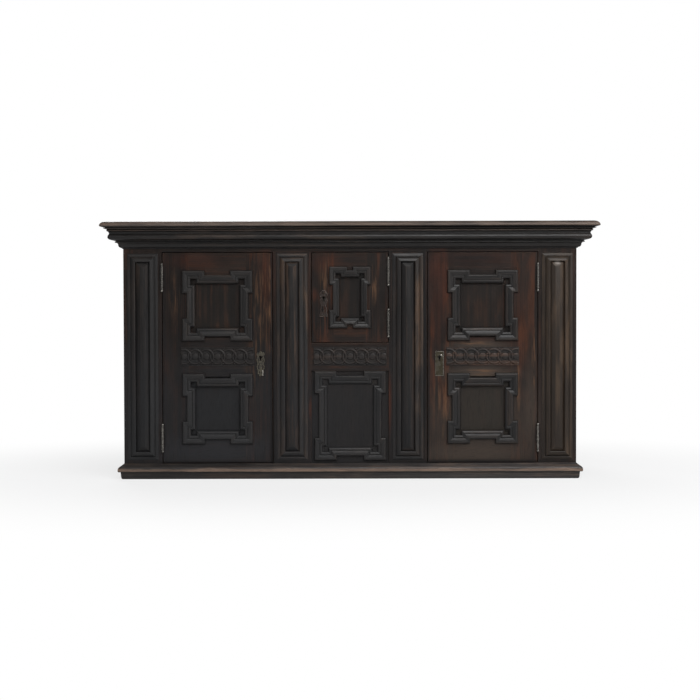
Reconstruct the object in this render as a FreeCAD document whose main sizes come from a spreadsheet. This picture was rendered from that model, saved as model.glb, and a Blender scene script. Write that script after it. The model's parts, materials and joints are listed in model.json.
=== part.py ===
import FreeCAD, Part
import os
import Sketcher

# A low oak court cupboard with three bays: a tall door at each side, a small door over a
# fixed panel in the middle, four pilaster panels, a stepped cornice and a bevelled plinth.
# Millimetres. +Z is up, the front faces -Y, and the origin is at the bottom centre.

SIZES = {
    # bays and case
    "post_width": 153,
    "side_opening": 442,
    "centre_opening": 308,
    "case_depth": 440,
    "plinth_height": 62,
    "lower_height": 480,
    "upper_height": 362,
    "frieze_strip": 20,
    "centre_rail_height": 112,
    "rear_post_width": 60,
    "rear_rail_depth": 33,
    "rear_rail_height": 70,
    "back_board_thickness": 12,
    "back_board_count": 8,
    "side_frame_depth": 26,
    "side_rail_height": 96,
    "toe_gap": 8,
    "stop_lip": 12,
    "stop_play": 1,
    # boards inside
    "floor_board": 22,
    "shelf_board": 22,
    "partition_board": 20,
    "bearer": 22,
    "planks_in_depth": 3,
    # joinery
    "tenon_length": 34,
    "tenon_shoulder": 14,
    "tongue": 9,
    "panel_thickness": 10,
    "panel_set_back": 8,
    # cornice and plinth
    "bed_reach": 28,
    "bed_height": 32,
    "crown_reach": 56,
    "crown_height": 38,
    "cornice_reach": 80,
    "nosing_height": 29,
    "nosing_lap": 40,
    "plinth_reach": 27,
    "fascia_reach": 12,
    # pilasters
    "pilaster_width": 122,
    "pilaster_band": 34,
    "pilaster_rise": 14,
    "pilaster_top_gap": 6,
    "pilaster_foot_gap": 14,
    "pilaster_panel_rise": 12,
    "hip_length": 20,
    # doors
    "door_gap": 2.4,
    "door_thickness": 26,
    "stile_width": 105,
    "top_rail_height": 100,
    "foot_rail_height": 95,
    "carved_rail_height": 158,
    "carving_zone": 128,
    "small_stile_width": 88,
    "small_rail_height": 70,
    # eared mouldings
    "moulding_band": 35,
    "moulding_rise": 20,
    "ear_reach": 18,
    "ear_lap": 3,
    "side_frame_margin": 77.6,
    "top_frame_margin": 70,
    "foot_frame_margin": 75,
    "centre_frame_margin": 10,
    "small_frame_margin": 68,
    "small_frame_height_margin": 56,
    # hinges
    "hinge_height": 96,
    "hinge_inset": 99,
    "small_hinge_inset": 76,
    "barrel_radius": 4.8,
    "barrel_gap": 0.4,
    "axis_stand_off": 6,
    "pin_radius": 2.6,
    "pin_play": 0.05,
    "pin_length": 30,
    "finial_radius": 5.4,
    "finial_neck": 5,
    "leaf_thickness": 2,
    "leaf_depth": 22,
    # locks
    "plate_width": 36,
    "plate_height": 98,
    "plate_thickness": 2,
    "plate_inset": 47,
    "keyhole_radius": 3.6,
    "keyhole_drop": 11,
    "keyhole_rise": 22,
    "small_lock_rise": 180,
    "lock_width": 64,
    "lock_height": 76,
    "lock_depth": 16,
    "lock_room": 6,
    "bolt_height": 16,
    "bolt_depth": 8,
    "bolt_length": 44,
    "bolt_travel": 12,
    "bolt_play": 0.3,
    "bolt_set_back": 1,
    "mortise_play": 1,
}

# Outlines as shares of the sizes they follow: (reach, height) for the runs round the case,
# (across the band, rise) for the frames.
BED_OUTLINE_SHARES = [(0.16, 0.0), (0.52, 0.18), (0.64, 0.58), (0.86, 0.82), (1.0, 0.88), (1.0, 1.0)]
CROWN_OUTLINE_SHARES = [(0.70, 0.0), (0.87, 0.30), (0.94, 0.66), (1.0, 0.92), (1.0, 1.0)]
NOSING_OUTLINE_SHARES = [(0.83, 0.0), (0.85, 0.34), (0.96, 0.46), (1.0, 0.60), (0.83, 1.0)]
FOOT_OUTLINE_SHARES = [(0.0, 0.0), (0.60, 0.0), (1.0, 0.13), (1.0, 0.38)]
PLINTH_OUTLINE_SHARES = [(0.70, 0.40), (0.96, 0.50), (1.0, 0.62), (0.90, 0.70), (0.0, 1.0)]
PILASTER_OUTLINE_SHARES = [(0.0, 0.20), (0.29, 0.58), (0.31, 0.42), (0.38, 0.42), (0.76, 1.0),
                           (0.90, 1.0), (1.0, 0.65)]
EARED_OUTLINE_SHARES = [(0.0, 0.45), (0.03, 0.64), (0.15, 1.0), (0.22, 1.0), (0.38, 0.86), (0.55, 0.62),
                        (0.57, 0.43), (0.70, 0.43), (0.73, 0.62), (0.84, 0.65), (0.96, 0.52), (1.0, 0.35)]
HIP_BEVEL_SHARE = 0.35
TENON_SHARE = 0.34
SMALL_BAND_SHARE = 0.168
SMALL_EAR_SHARE = 0.084
KEYHOLE_SLOT_SHARE = 0.45

os.makedirs("parts", exist_ok=True)
doc = FreeCAD.newDocument("court_cupboard")
sheet = doc.addObject("Spreadsheet::Sheet", "sizes")
for row, (alias, number) in enumerate(SIZES.items(), 1):
    sheet.set(f"A{row}", alias)
    sheet.set(f"B{row}", str(number))
    sheet.setAlias(f"B{row}", alias)
doc.recompute()


class Length:
    """A number together with the expression that ties it to the sheet."""

    def __init__(self, text, number):
        self.text = text
        self.number = number

    def joined(self, other, sign, number):
        return Length(f"({self.text} {sign} {as_length(other).text})", number)

    def __add__(self, other):
        return self.joined(other, "+", self.number + as_length(other).number)

    def __sub__(self, other):
        return self.joined(other, "-", self.number - as_length(other).number)

    def __mul__(self, other):
        return self.joined(other, "*", self.number * as_length(other).number)

    def __truediv__(self, other):
        return self.joined(other, "/", self.number / as_length(other).number)

    def __radd__(self, other):
        return as_length(other) + self

    def __rsub__(self, other):
        return as_length(other) - self

    __rmul__ = __mul__

    def __neg__(self):
        return self * -1


def as_length(value):
    return value if isinstance(value, Length) else Length(f"({value})", float(value))


def cell(alias):
    return Length(f"sizes.{alias}", float(SIZES[alias]))


def bind(item, path, value):
    item.setExpression(path, as_length(value).text)


def set_at(item, x, y, z):
    bind(item, "Placement.Base.x", x)
    bind(item, "Placement.Base.y", y)
    bind(item, "Placement.Base.z", z)


def box(name, xs, ys, zs):
    """A box between pairs of places."""
    item = doc.addObject("Part::Box", name)
    for path, (low, high) in (("Length", xs), ("Width", ys), ("Height", zs)):
        bind(item, path, high - low)
    set_at(item, xs[0], ys[0], zs[0])
    return item


def cylinder(name, radius, centre, zs):
    item = doc.addObject("Part::Cylinder", name)
    bind(item, "Radius", radius)
    bind(item, "Height", zs[1] - zs[0])
    set_at(item, centre[0], centre[1], zs[0])
    return item


def ball(name, radius, centre):
    item = doc.addObject("Part::Sphere", name)
    bind(item, "Radius", radius)
    set_at(item, *centre)
    return item


def fuse(name, items):
    item = doc.addObject("Part::MultiFuse", name)
    item.Shapes = items
    return item


def group(name, items):
    item = doc.addObject("Part::Compound", name)
    item.Links = items
    return item


def cut(name, base, tools):
    item = doc.addObject("Part::Cut", name)
    item.Base = base
    item.Tool = tools[0] if len(tools) == 1 else group(name + "_cutters", tools)
    return item


def mirrored(side, low, high):
    """A span of X on the left (side -1) or on the right (side 1)."""
    return (low, high) if side > 0 else (-high, -low)


def sketch(body, role, name, points, closed=True):
    """Straight lines through the points, each place tied to the sheet."""
    item = body.newObject("Sketcher::SketchObject", name)
    plane = next(each for each in body.Origin.OriginFeatures if each.Role == role)
    item.AttachmentSupport = (plane, "")
    item.MapMode = "FlatFace"
    places = [(as_length(across), as_length(up)) for across, up in points]
    count = len(places)
    lines = count if closed else count - 1
    for index in range(lines):
        ends = [places[index], places[(index + 1) % count]]
        first, last = [FreeCAD.Vector(across.number, up.number, 0) for across, up in ends]
        item.addGeometry(Part.LineSegment(first, last), False)
    for index in range(1 if not closed else 0, lines):
        item.addConstraint(Sketcher.Constraint("Coincident", (index - 1) % lines, 2, index, 1))
    for index, place in enumerate(places):
        line, end = (index, 1) if index < lines else (index - 1, 2)
        for kind, value in zip(("DistanceX", "DistanceY"), place):
            number = item.addConstraint(Sketcher.Constraint(kind, -1, 1, line, end, value.number))
            item.setExpression(f"Constraints[{number}]", value.text)
    return item


def pipe(name, profile_plane, profile, path_plane, path, closed):
    """A moulding: its outline taken along a path with mitred corners."""
    body = doc.addObject("PartDesign::Body", name)
    spine = sketch(body, path_plane, name + "_path", path, closed)
    outline = sketch(body, profile_plane, name + "_outline", profile)
    run = body.newObject("PartDesign::AdditivePipe", name + "_run")
    run.Profile = outline
    run.Spine = (spine, [])
    run.Transition = "Right corner"
    body.Tip = run
    return body


# Places worked out from the driving sizes.
zero = as_length(0)
post_width = cell("post_width")
side_opening = cell("side_opening")
door_gap = cell("door_gap")
door_thickness = cell("door_thickness")
panel_thickness = cell("panel_thickness")
panel_set_back = cell("panel_set_back")
tongue = cell("tongue")
tenon_length = cell("tenon_length")
barrel_radius = cell("barrel_radius")
hinge_height = cell("hinge_height")
leaf_thickness = cell("leaf_thickness")

whole_depth = cell("case_depth") + cell("cornice_reach")
front = cell("cornice_reach") - whole_depth / 2
back = whole_depth / 2
post_depth = door_thickness + cell("lock_depth") + cell("lock_room")
inside_front = front + post_depth
rear_post_depth = cell("back_board_thickness") + cell("rear_rail_depth")
inside_back = back - rear_post_depth

inner_edge = cell("centre_opening") / 2
bay_edge = inner_edge + post_width
outer_edge = bay_edge + side_opening
case_edge = outer_edge + post_width
side_inside = case_edge - cell("side_frame_depth")

plinth_top = cell("plinth_height")
sill = plinth_top + cell("lower_height")
opening_top = sill + cell("upper_height")
cornice_foot = opening_top + cell("frieze_strip")
crown_foot = cornice_foot + cell("bed_height")
case_top = crown_foot + cell("crown_height")
shelf_foot = sill - cell("shelf_board")
floor_foot = plinth_top - cell("floor_board")
centre_rail_foot = sill - cell("centre_rail_height")
carving = (sill + centre_rail_foot) / 2
toe = cell("toe_gap")
door_foot = plinth_top + door_gap
door_top = opening_top - door_gap
small_door_foot = sill + door_gap

SIDES = {"left": -1, "right": 1}


def tenon(name, xs, member_ys, zs):
    """A tenon a third as thick as its member, in the middle of it."""
    thickness = (member_ys[1] - member_ys[0]) * TENON_SHARE
    middle = (member_ys[0] + member_ys[1]) / 2
    shoulder = cell("tenon_shoulder")
    ys = (middle - thickness / 2, middle + thickness / 2)
    return box(name, xs, ys, (zs[0] + shoulder, zs[1] - shoulder))


def tenoned_rail(name, xs, ys, zs):
    """A rail between two uprights, and its tenons, which also cut their mortises."""
    left = tenon(name + "_left_tenon", (xs[0] - tenon_length, xs[0]), ys, zs)
    right = tenon(name + "_right_tenon", (xs[1], xs[1] + tenon_length), ys, zs)
    return fuse(name + "_blank", [box(name + "_board", xs, ys, zs), left, right]), [left, right]


def front_panel(name, xs, zs, face):
    """A panel that reaches into the grooves round its opening."""
    spread = ((xs[0] - tongue, xs[1] + tongue), (zs[0] - tongue, zs[1] + tongue))
    return box(name, spread[0], (face, face + panel_thickness), spread[1])


# Hinges: two lift-off halves, the lower one with the pin on the case, the upper on the door.
def barrel_half(name, axis, leaf_xs, zs, upper):
    """One half of a hinge: barrel, ball finial and the leaf that is let into the wood."""
    finial_radius = cell("finial_radius")
    neck = cell("finial_neck")
    tip = zs[1] if upper else zs[0]
    ball_height = tip + neck if upper else tip - neck
    neck_span = (tip, ball_height) if upper else (ball_height, tip)
    pieces = [
        cylinder(name + "_barrel", barrel_radius, axis, zs),
        cylinder(name + "_neck", cell("pin_radius"), axis, neck_span),
        ball(name + "_finial", finial_radius, (axis[0], axis[1], ball_height)),
    ]
    leaf = box(name + "_leaf", leaf_xs, (axis[1], front + cell("leaf_depth")), zs)
    recess = box(name + "_recess", leaf_xs, (front, front + cell("leaf_depth")), zs)
    return pieces, leaf, recess


def hinge(name, side, edge, middle):
    """A hinge at the post's edge, on the left (side -1) or right (side 1) of its door."""
    axis_x = side * (edge - door_gap / 2)
    axis = (axis_x, front - cell("axis_stand_off"))
    pin_radius = cell("pin_radius")
    half_gap = cell("barrel_gap") / 2
    low = (middle - hinge_height / 2, middle - half_gap)
    high = (middle + half_gap, middle + hinge_height / 2)
    post_leaf = mirrored(side, edge, edge + leaf_thickness)
    door_edge = edge - door_gap
    door_leaf = mirrored(side, door_edge - leaf_thickness, door_edge)
    pieces, leaf, post_recess = barrel_half(name + "_lower", axis, post_leaf, low, False)
    pin_top = middle + half_gap + cell("pin_length")
    pin = cylinder(name + "_pin", pin_radius, axis, (low[0], pin_top))
    lower = fuse(name + "_post_half", pieces + [leaf, pin])
    pieces, leaf, door_recess = barrel_half(name + "_upper", axis, door_leaf, high, True)
    bore_top = pin_top + half_gap
    bore = cylinder(name + "_bore", pin_radius + cell("pin_play"), axis, (high[0], bore_top))
    upper = cut(name + "_door_half", fuse(name + "_upper_blank", pieces + [leaf]), [bore])
    return lower, upper, post_recess, door_recess


# Locks: a plate with a keyhole on the face, a case behind the stile and a sliding bolt.
def keyhole(name, centre_x, height, ys):
    radius = cell("keyhole_radius")
    hole = doc.addObject("Part::Cylinder", name + "_round")
    bind(hole, "Radius", radius)
    bind(hole, "Height", ys[1] - ys[0])
    hole.Placement.Rotation = FreeCAD.Rotation(FreeCAD.Vector(1, 0, 0), -90)
    set_at(hole, centre_x, ys[0], height)
    half = radius * KEYHOLE_SLOT_SHARE
    slot_zs = (height - cell("keyhole_drop"), height)
    slot = box(name + "_slot", (centre_x - half, centre_x + half), ys, slot_zs)
    return fuse(name, [hole, slot])


def lock(name, side, free_edge, height):
    """The lock at a door's free edge; its bolt leaves towards side (-1 left, 1 right)."""
    inset = cell("plate_inset")
    plate_x = side * (free_edge - inset)
    half_width = cell("plate_width") / 2
    plate_top = height + cell("keyhole_rise")
    plate_zs = (plate_top - cell("plate_height"), plate_top)
    plate_ys = (front - cell("plate_thickness"), front)
    hole = keyhole(name + "_keyhole", plate_x, height, (plate_ys[0], front + door_thickness))
    plate = box(name + "_plate", (plate_x - half_width, plate_x + half_width), plate_ys, plate_zs)
    door_back = front + door_thickness
    case_ys = (door_back, door_back + cell("lock_depth"))
    half_height = cell("lock_height") / 2
    case_xs = mirrored(side, free_edge - cell("lock_width"), free_edge)
    case = box(name + "_case_block", case_xs, case_ys, (height - half_height, height + half_height))
    bolt_end = free_edge - cell("bolt_set_back")
    bolt_start = bolt_end - cell("bolt_length")
    play = cell("bolt_play")
    half_bolt = cell("bolt_height") / 2
    half_depth = cell("bolt_depth") / 2
    middle = door_back + cell("lock_depth") / 2
    bolt_ys = (middle - half_depth, middle + half_depth)
    bolt_zs = (height - half_bolt, height + half_bolt)
    bolt = box(name + "_bolt", mirrored(side, bolt_start, bolt_end), bolt_ys, bolt_zs)
    channel = box(name + "_channel", mirrored(side, bolt_start - play, free_edge),
                  (bolt_ys[0] - play, bolt_ys[1] + play), (bolt_zs[0] - play, bolt_zs[1] + play))
    room = cell("mortise_play")
    reach = bolt_end + cell("bolt_travel") + room
    mortise = box(name + "_mortise", mirrored(side, free_edge + door_gap, reach),
                  (bolt_ys[0] - room, bolt_ys[1] + room), (bolt_zs[0] - room, bolt_zs[1] + room))
    return {
        "plate": cut(name + "_escutcheon", plate, [hole]),
        "case": cut(name + "_lock", case, [channel]),
        "bolt": bolt,
        "keyhole": hole,
        "mortise": mortise,
    }


# Eared frames: a moulding whose outline steps outwards at every corner.
def eared_outline(half_width, half_height, ear, ear_length):
    """Corner points of the outer edge, anticlockwise seen from the front."""
    first = [
        (half_width - ear_length, -half_height + ear),
        (half_width - ear_length, -half_height),
        (half_width, -half_height),
        (half_width, -half_height + ear_length),
        (half_width - ear, -half_height + ear_length),
    ]
    second = [(across, -up) for across, up in reversed(first)]
    third = [(-across, -up) for across, up in first]
    fourth = [(-across, up) for across, up in reversed(first)]
    return first + second + third + fourth


def shrunk(outline, distance):
    """The outline moved inwards by a distance, corner for corner."""
    count = len(outline)
    moved = []
    for index in range(count):
        before = outline[index - 1]
        here = outline[index]
        after = outline[(index + 1) % count]
        coming = FreeCAD.Vector(here[0] - before[0], here[1] - before[1], 0).normalize()
        going = FreeCAD.Vector(after[0] - here[0], after[1] - here[1], 0).normalize()
        shift_x = -(coming.y + going.y) * distance
        shift_y = (coming.x + going.x) * distance
        moved.append((here[0] + shift_x, here[1] + shift_y))
    return moved


def eared_moulding(name, outline, band, rise, centre, face):
    """A mitred moulding on a stepped outline, made of flat facets."""
    facets = [(across * band, up * rise) for across, up in EARED_OUTLINE_SHARES]
    profile = [(0.0, 0.0)] + facets + [(band, 0.0)]
    rings = []
    for distance, height in profile:
        ring = [FreeCAD.Vector(across, -height, up) for across, up in shrunk(outline, distance)]
        rings.append(ring)
    faces = []
    count = len(outline)
    for number, ring in enumerate(rings):
        following = rings[(number + 1) % len(rings)]
        for index in range(count):
            after = (index + 1) % count
            loop = [ring[index], ring[after], following[after], following[index], ring[index]]
            faces.append(Part.Face(Part.makePolygon(loop)))
    solid = Part.Solid(Part.Shell(faces))
    if solid.Volume < 0:
        solid.reverse()
    item = doc.addObject("Part::Feature", name)
    item.Shape = solid
    set_at(item, centre[0], face, centre[1])
    return item


def eared_frame(name, xs, zs, band, ear, face):
    """An eared moulding that fills the span of X and Z on a face."""
    ear_length = ear + 2 * band + cell("ear_lap")
    half_width = (xs[1] - xs[0]) / 2
    half_height = (zs[1] - zs[0]) / 2
    outline = eared_outline(half_width.number, half_height.number, ear.number, ear_length.number)
    centre = ((xs[0] + xs[1]) / 2, (zs[0] + zs[1]) / 2)
    return eared_moulding(name, outline, band.number, cell("moulding_rise").number, centre, face)


# Runs round three sides of the case: plinth and cornice.
def three_sided(name, points, lap):
    """A run with mitred corners: the front piece and the two side pieces."""
    depth = cell("case_depth")
    path = [(-case_edge, zero), (-case_edge, -depth), (case_edge, -depth), (case_edge, zero)]
    profile = [(-case_edge - reach, height) for reach, height in points]
    whole = pipe(name + "_whole", "XZ_Plane", profile, "XY_Plane", path, False)
    set_at(whole, 0, back, 0)
    reach = cell("cornice_reach") + lap
    sector = doc.addObject("PartDesign::Body", name + "_sector")
    low = front - reach
    high = front + lap + tongue
    spread = lap + tongue
    plan = [
        (-case_edge - reach, low),
        (case_edge + reach, low),
        (case_edge - spread, high),
        (-case_edge + spread, high),
    ]
    outline = sketch(sector, "XY_Plane", name + "_sector_plan", plan)
    pad = sector.newObject("PartDesign::Pad", name + "_sector_pad")
    pad.Profile = outline
    bind(pad, "Length", case_top + cell("nosing_height") + tongue)
    sector.Tip = pad
    middle = doc.addObject("Part::Common", name + "_front")
    middle.Base = whole
    middle.Tool = sector
    ends = cut(name + "_sides", whole, [sector])
    return group(name, [middle, ends])


def shared(outline, reach, height, foot):
    return [(across * reach, foot + up * height) for across, up in outline]


nodes = []


def keep(item, label):
    item.Label = label
    nodes.append(item)
    return item


# Door builds. Each returns what its posts need: recesses for leaves and the bolt's mortise.
def door_frame(name, xs, stile, rail_spans, panel_spans, hinge_side, hinges, door_lock):
    """Stiles, rails and panels of a door, with their joints, grooves and cut-outs."""
    ys = (front, front + door_thickness)
    zs = (rail_spans[-1][1][0], rail_spans[0][1][1])
    inner = (xs[0] + stile, xs[1] - stile)
    face = front + panel_set_back
    panels = []
    for label, span in panel_spans:
        panels.append(front_panel(f"{name}_{label}_blank", inner, span, face))
    rails = {}
    tenons = []
    for label, span in rail_spans:
        blank, ends = tenoned_rail(f"{name}_{label}", inner, ys, span)
        rails[label] = cut(f"{name}_{label}_cut", blank, panels)
        tenons += ends
    recesses = [each[3] for each in hinges]
    stiles = []
    for side, span in (("left", (xs[0], inner[0])), ("right", (inner[1], xs[1]))):
        board = box(f"{name}_{side}_stile_board", span, ys, zs)
        own = recesses if side == hinge_side else [door_lock["keyhole"]]
        stiles.append(cut(f"{name}_{side}_stile", board, tenons + panels + own))
    return stiles, rails, panels


def door_hinges(name, side, edge, heights):
    numbered = enumerate(heights, 1)
    return [hinge(f"{name}_hinge_{index}", side, edge, height) for index, height in numbered]


post_cuts = {"left_outer": [], "left_inner": [], "right_inner": [], "right_outer": []}

# The two tall doors.
for name, side in SIDES.items():
    door = name + "_door"
    xs = mirrored(side, bay_edge + door_gap, outer_edge - door_gap)
    inset = cell("hinge_inset")
    hinges = door_hinges(door, side, outer_edge, [door_foot + inset, door_top - inset])
    lock_edge = bay_edge + door_gap
    # The bolt leaves towards the middle of the cupboard, so the lock is drawn mirrored.
    door_lock = lock(door, -side, -lock_edge, carving)
    half_rail = cell("carved_rail_height") / 2
    rail_spans = [
        ("top_rail", (door_top - cell("top_rail_height"), door_top)),
        ("carved_rail", (carving - half_rail, carving + half_rail)),
        ("foot_rail", (door_foot, door_foot + cell("foot_rail_height"))),
    ]
    panel_spans = [
        ("upper_panel", (rail_spans[1][1][1], rail_spans[0][1][0])),
        ("lower_panel", (rail_spans[2][1][1], rail_spans[1][1][0])),
    ]
    stiles, rails, panels = door_frame(
        door, xs, cell("stile_width"), rail_spans, panel_spans, name, hinges, door_lock)
    keep(group(door + "_stiles", stiles), door + "_stiles")
    keep(group(door + "_rails", [rails["top_rail"], rails["foot_rail"]]), door + "_rails")
    keep(rails["carved_rail"], door + "_carved_rail")
    keep(group(door + "_panels", panels), door + "_panels")
    margin = cell("side_frame_margin")
    frame_xs = (xs[0] + margin, xs[1] - margin)
    half_zone = cell("carving_zone") / 2
    band = cell("moulding_band")
    ear = cell("ear_reach")
    upper_zs = (carving + half_zone, door_top - cell("top_frame_margin"))
    lower_zs = (door_foot + cell("foot_frame_margin"), carving - half_zone)
    upper = eared_frame(door + "_upper_frame", frame_xs, upper_zs, band, ear, front)
    lower = eared_frame(door + "_lower_frame", frame_xs, lower_zs, band, ear, front)
    keep(group(door + "_mouldings", [upper, lower]), door + "_mouldings")
    keep(group(door + "_hinges", [each[1] for each in hinges]), door + "_hinges")
    keep(group(name + "_post_hinges", [each[0] for each in hinges]), name + "_post_hinges")
    keep(door_lock["plate"], door + "_escutcheon")
    keep(door_lock["case"], door + "_lock")
    keep(door_lock["bolt"], door + "_bolt")
    post_cuts[name + "_outer"] += [each[2] for each in hinges]
    post_cuts[name + "_inner"].append(door_lock["mortise"])

# The small middle door, hung on the right.
xs = (-inner_edge + door_gap, inner_edge - door_gap)
inset = cell("small_hinge_inset")
hinges = door_hinges("centre_door", 1, inner_edge, [small_door_foot + inset, door_top - inset])
door_lock = lock("centre_door", -1, inner_edge - door_gap, sill + cell("small_lock_rise"))
rail_height = cell("small_rail_height")
rail_spans = [
    ("top_rail", (door_top - rail_height, door_top)),
    ("foot_rail", (small_door_foot, small_door_foot + rail_height)),
]
panel_spans = [("panel", (rail_spans[1][1][1], rail_spans[0][1][0]))]
stiles, rails, panels = door_frame(
    "centre_door", xs, cell("small_stile_width"), rail_spans, panel_spans, "right", hinges, door_lock)
keep(group("centre_door_stiles", stiles), "centre_door_stiles")
keep(group("centre_door_rails", list(rails.values())), "centre_door_rails")
keep(panels[0], "centre_door_panel")
margin = cell("small_frame_margin")
frame_xs = (xs[0] + margin, xs[1] - margin)
frame_width = frame_xs[1] - frame_xs[0]
height_margin = cell("small_frame_height_margin")
frame_zs = (small_door_foot + height_margin, door_top - height_margin)
keep(eared_frame("centre_door_frame", frame_xs, frame_zs, frame_width * SMALL_BAND_SHARE,
                 frame_width * SMALL_EAR_SHARE, front), "centre_door_moulding")
keep(group("centre_door_hinges", [each[1] for each in hinges]), "centre_door_hinges")
keep(group("centre_post_hinges", [each[0] for each in hinges]), "centre_post_hinges")
keep(door_lock["plate"], "centre_door_escutcheon")
keep(door_lock["case"], "centre_door_lock")
keep(door_lock["bolt"], "centre_door_bolt")
post_cuts["right_inner"] += [each[2] for each in hinges]
post_cuts["left_inner"].append(door_lock["mortise"])

# Front frame: bottom rail, carved rail over the fixed panel, frieze rail with its door stop.
front_ys = (front, inside_front)
inner_span = (-inner_edge, inner_edge)
fixed_face = front + panel_set_back
fixed_panel = front_panel("centre_fixed_panel", inner_span, (plinth_top, centre_rail_foot), fixed_face)
keep(fixed_panel, "centre_fixed_panel")
carved_zs = (centre_rail_foot, sill)
carved_blank, carved_tenons = tenoned_rail("centre_carved_rail", inner_span, front_ys, carved_zs)
keep(cut("centre_carved_rail_cut", carved_blank, [fixed_panel]), "centre_carved_rail")
margin = cell("centre_frame_margin")
keep(eared_frame("centre_lower_frame", (-inner_edge + margin, inner_edge - margin),
                 (plinth_top + margin, centre_rail_foot), cell("moulding_band"), cell("ear_reach"),
                 fixed_face), "centre_fixed_moulding")

long_span = (-outer_edge, outer_edge)
upright_tenons = []
inner_posts = {}
for name, side in SIDES.items():
    xs = mirrored(side, inner_edge, bay_edge)
    shoulder = cell("tenon_shoulder")
    middle = (front + inside_front) / 2
    half = (inside_front - front) * TENON_SHARE / 2
    tenon_xs = (xs[0] + shoulder, xs[1] - shoulder)
    tenon_ys = (middle - half, middle + half)
    foot = box(name + "_inner_foot_tenon", tenon_xs, tenon_ys, (plinth_top - tenon_length, plinth_top))
    head = box(name + "_inner_head_tenon", tenon_xs, tenon_ys, (opening_top, opening_top + tenon_length))
    board = box(name + "_inner_board", xs, front_ys, (plinth_top, opening_top))
    blank = fuse(name + "_inner_blank", [board, foot, head])
    cutters = carved_tenons + [fixed_panel] + post_cuts[name + "_inner"]
    inner_posts[name] = keep(cut(name + "_inner_cut", blank, cutters), name + "_inner_post")
    upright_tenons += [foot, head]

bottom_blank, bottom_tenons = tenoned_rail("bottom_rail", long_span, front_ys, (toe, plinth_top))
keep(cut("bottom_rail_cut", bottom_blank, upright_tenons + [fixed_panel]), "bottom_rail")

stop_face = front + door_thickness + cell("stop_play")
lip_foot = opening_top - cell("stop_lip")
frieze = doc.addObject("PartDesign::Body", "frieze_board")
frieze_outline = sketch(frieze, "YZ_Plane", "frieze_outline", [
    (front, opening_top), (stop_face, opening_top), (stop_face, lip_foot),
    (inside_front, lip_foot), (inside_front, case_top), (front, case_top)])
frieze_pad = frieze.newObject("PartDesign::Pad", "frieze_pad")
frieze_pad.Profile = frieze_outline
frieze_pad.Midplane = True
bind(frieze_pad, "Length", 2 * outer_edge)
frieze.Tip = frieze_pad
frieze_tenons = [
    tenon(f"frieze_{name}_tenon", mirrored(side, outer_edge, outer_edge + tenon_length), front_ys,
          (opening_top, case_top))
    for name, side in SIDES.items()
]
frieze_blank = fuse("frieze_blank", [frieze] + frieze_tenons)
lip_room = [
    box(f"{name}_lip_room", mirrored(side, inner_edge, bay_edge), front_ys, (lip_foot, opening_top))
    for name, side in SIDES.items()
]
keep(cut("frieze_cut", frieze_blank, upright_tenons + lip_room), "frieze_rail")

# Side frames: rails between the outer posts and the rear posts, with two panels a side.
side_ys = (inside_front, inside_back)
side_rail_height = cell("side_rail_height")
rail_heights = [
    ("top", (case_top - side_rail_height, case_top)),
    ("middle", (shelf_foot - side_rail_height, shelf_foot)),
    ("bottom", (toe, toe + side_rail_height)),
]
side_panels = []
side_rails = []
post_joints = {"left": [], "right": []}
for name, side in SIDES.items():
    outer_face = case_edge - panel_set_back
    xs = mirrored(side, outer_face - panel_thickness, outer_face)
    top_span, middle_span, bottom_span = [span for label, span in rail_heights]
    spans = [(middle_span[1], top_span[0]), (bottom_span[1], middle_span[0])]
    own_panels = []
    for index, span in enumerate(spans, 1):
        zs = (span[0] - tongue, span[1] + tongue)
        ys = (side_ys[0] - tongue, side_ys[1] + tongue)
        own_panels.append(box(f"{name}_side_panel_{index}", xs, ys, zs))
    rail_xs = mirrored(side, side_inside, case_edge)
    middle = side * (side_inside + case_edge) / 2
    half = cell("side_frame_depth") * TENON_SHARE / 2
    shoulder = cell("tenon_shoulder")
    for label, span in rail_heights:
        tenon_xs = (middle - half, middle + half)
        tenon_zs = (span[0] + shoulder, span[1] - shoulder)
        fore_ys = (inside_front - tongue, inside_front)
        rear_ys = (inside_back, inside_back + tongue)
        fore = box(f"{name}_{label}_fore_tenon", tenon_xs, fore_ys, tenon_zs)
        rear = box(f"{name}_{label}_rear_tenon", tenon_xs, rear_ys, tenon_zs)
        board = box(f"{name}_{label}_side_board", rail_xs, side_ys, span)
        blank = fuse(f"{name}_{label}_side_blank", [board, fore, rear])
        side_rails.append(cut(f"{name}_{label}_side_rail", blank, own_panels))
        post_joints[name] += [fore, rear]
    post_joints[name] += own_panels
    side_panels += own_panels
keep(group("side_panels", side_panels), "side_panels")
keep(group("side_rails", side_rails), "side_rails")

for index, (name, side) in enumerate(SIDES.items()):
    xs = mirrored(side, outer_edge, case_edge)
    board = box(name + "_outer_board", xs, front_ys, (zero, case_top))
    cutters = post_cuts[name + "_outer"] + post_joints[name] + [bottom_tenons[index], frieze_tenons[index]]
    keep(cut(name + "_outer_cut", board, cutters), name + "_outer_post")

# Rear frame and back boards.
rear_inner = case_edge - cell("rear_post_width")
rear_ys = (inside_back, back - cell("back_board_thickness"))
rear_height = cell("rear_rail_height")
rear_rails = []
rear_tenons = []
for label, span in (("top", (case_top - rear_height, case_top)),
                    ("middle", (shelf_foot - rear_height, shelf_foot)),
                    ("bottom", (toe, toe + rear_height))):
    blank, ends = tenoned_rail(f"rear_{label}_rail", (-rear_inner, rear_inner), rear_ys, span)
    rear_rails.append(blank)
    rear_tenons += ends
keep(group("rear_rails", rear_rails), "rear_rails")
rear_posts = []
for name, side in SIDES.items():
    board = box(name + "_rear_board", mirrored(side, rear_inner, case_edge), (inside_back, back),
                (zero, case_top))
    rear_posts.append(cut(name + "_rear_post", board, rear_tenons + post_joints[name]))
keep(group("rear_posts", rear_posts), "rear_posts")

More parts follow.
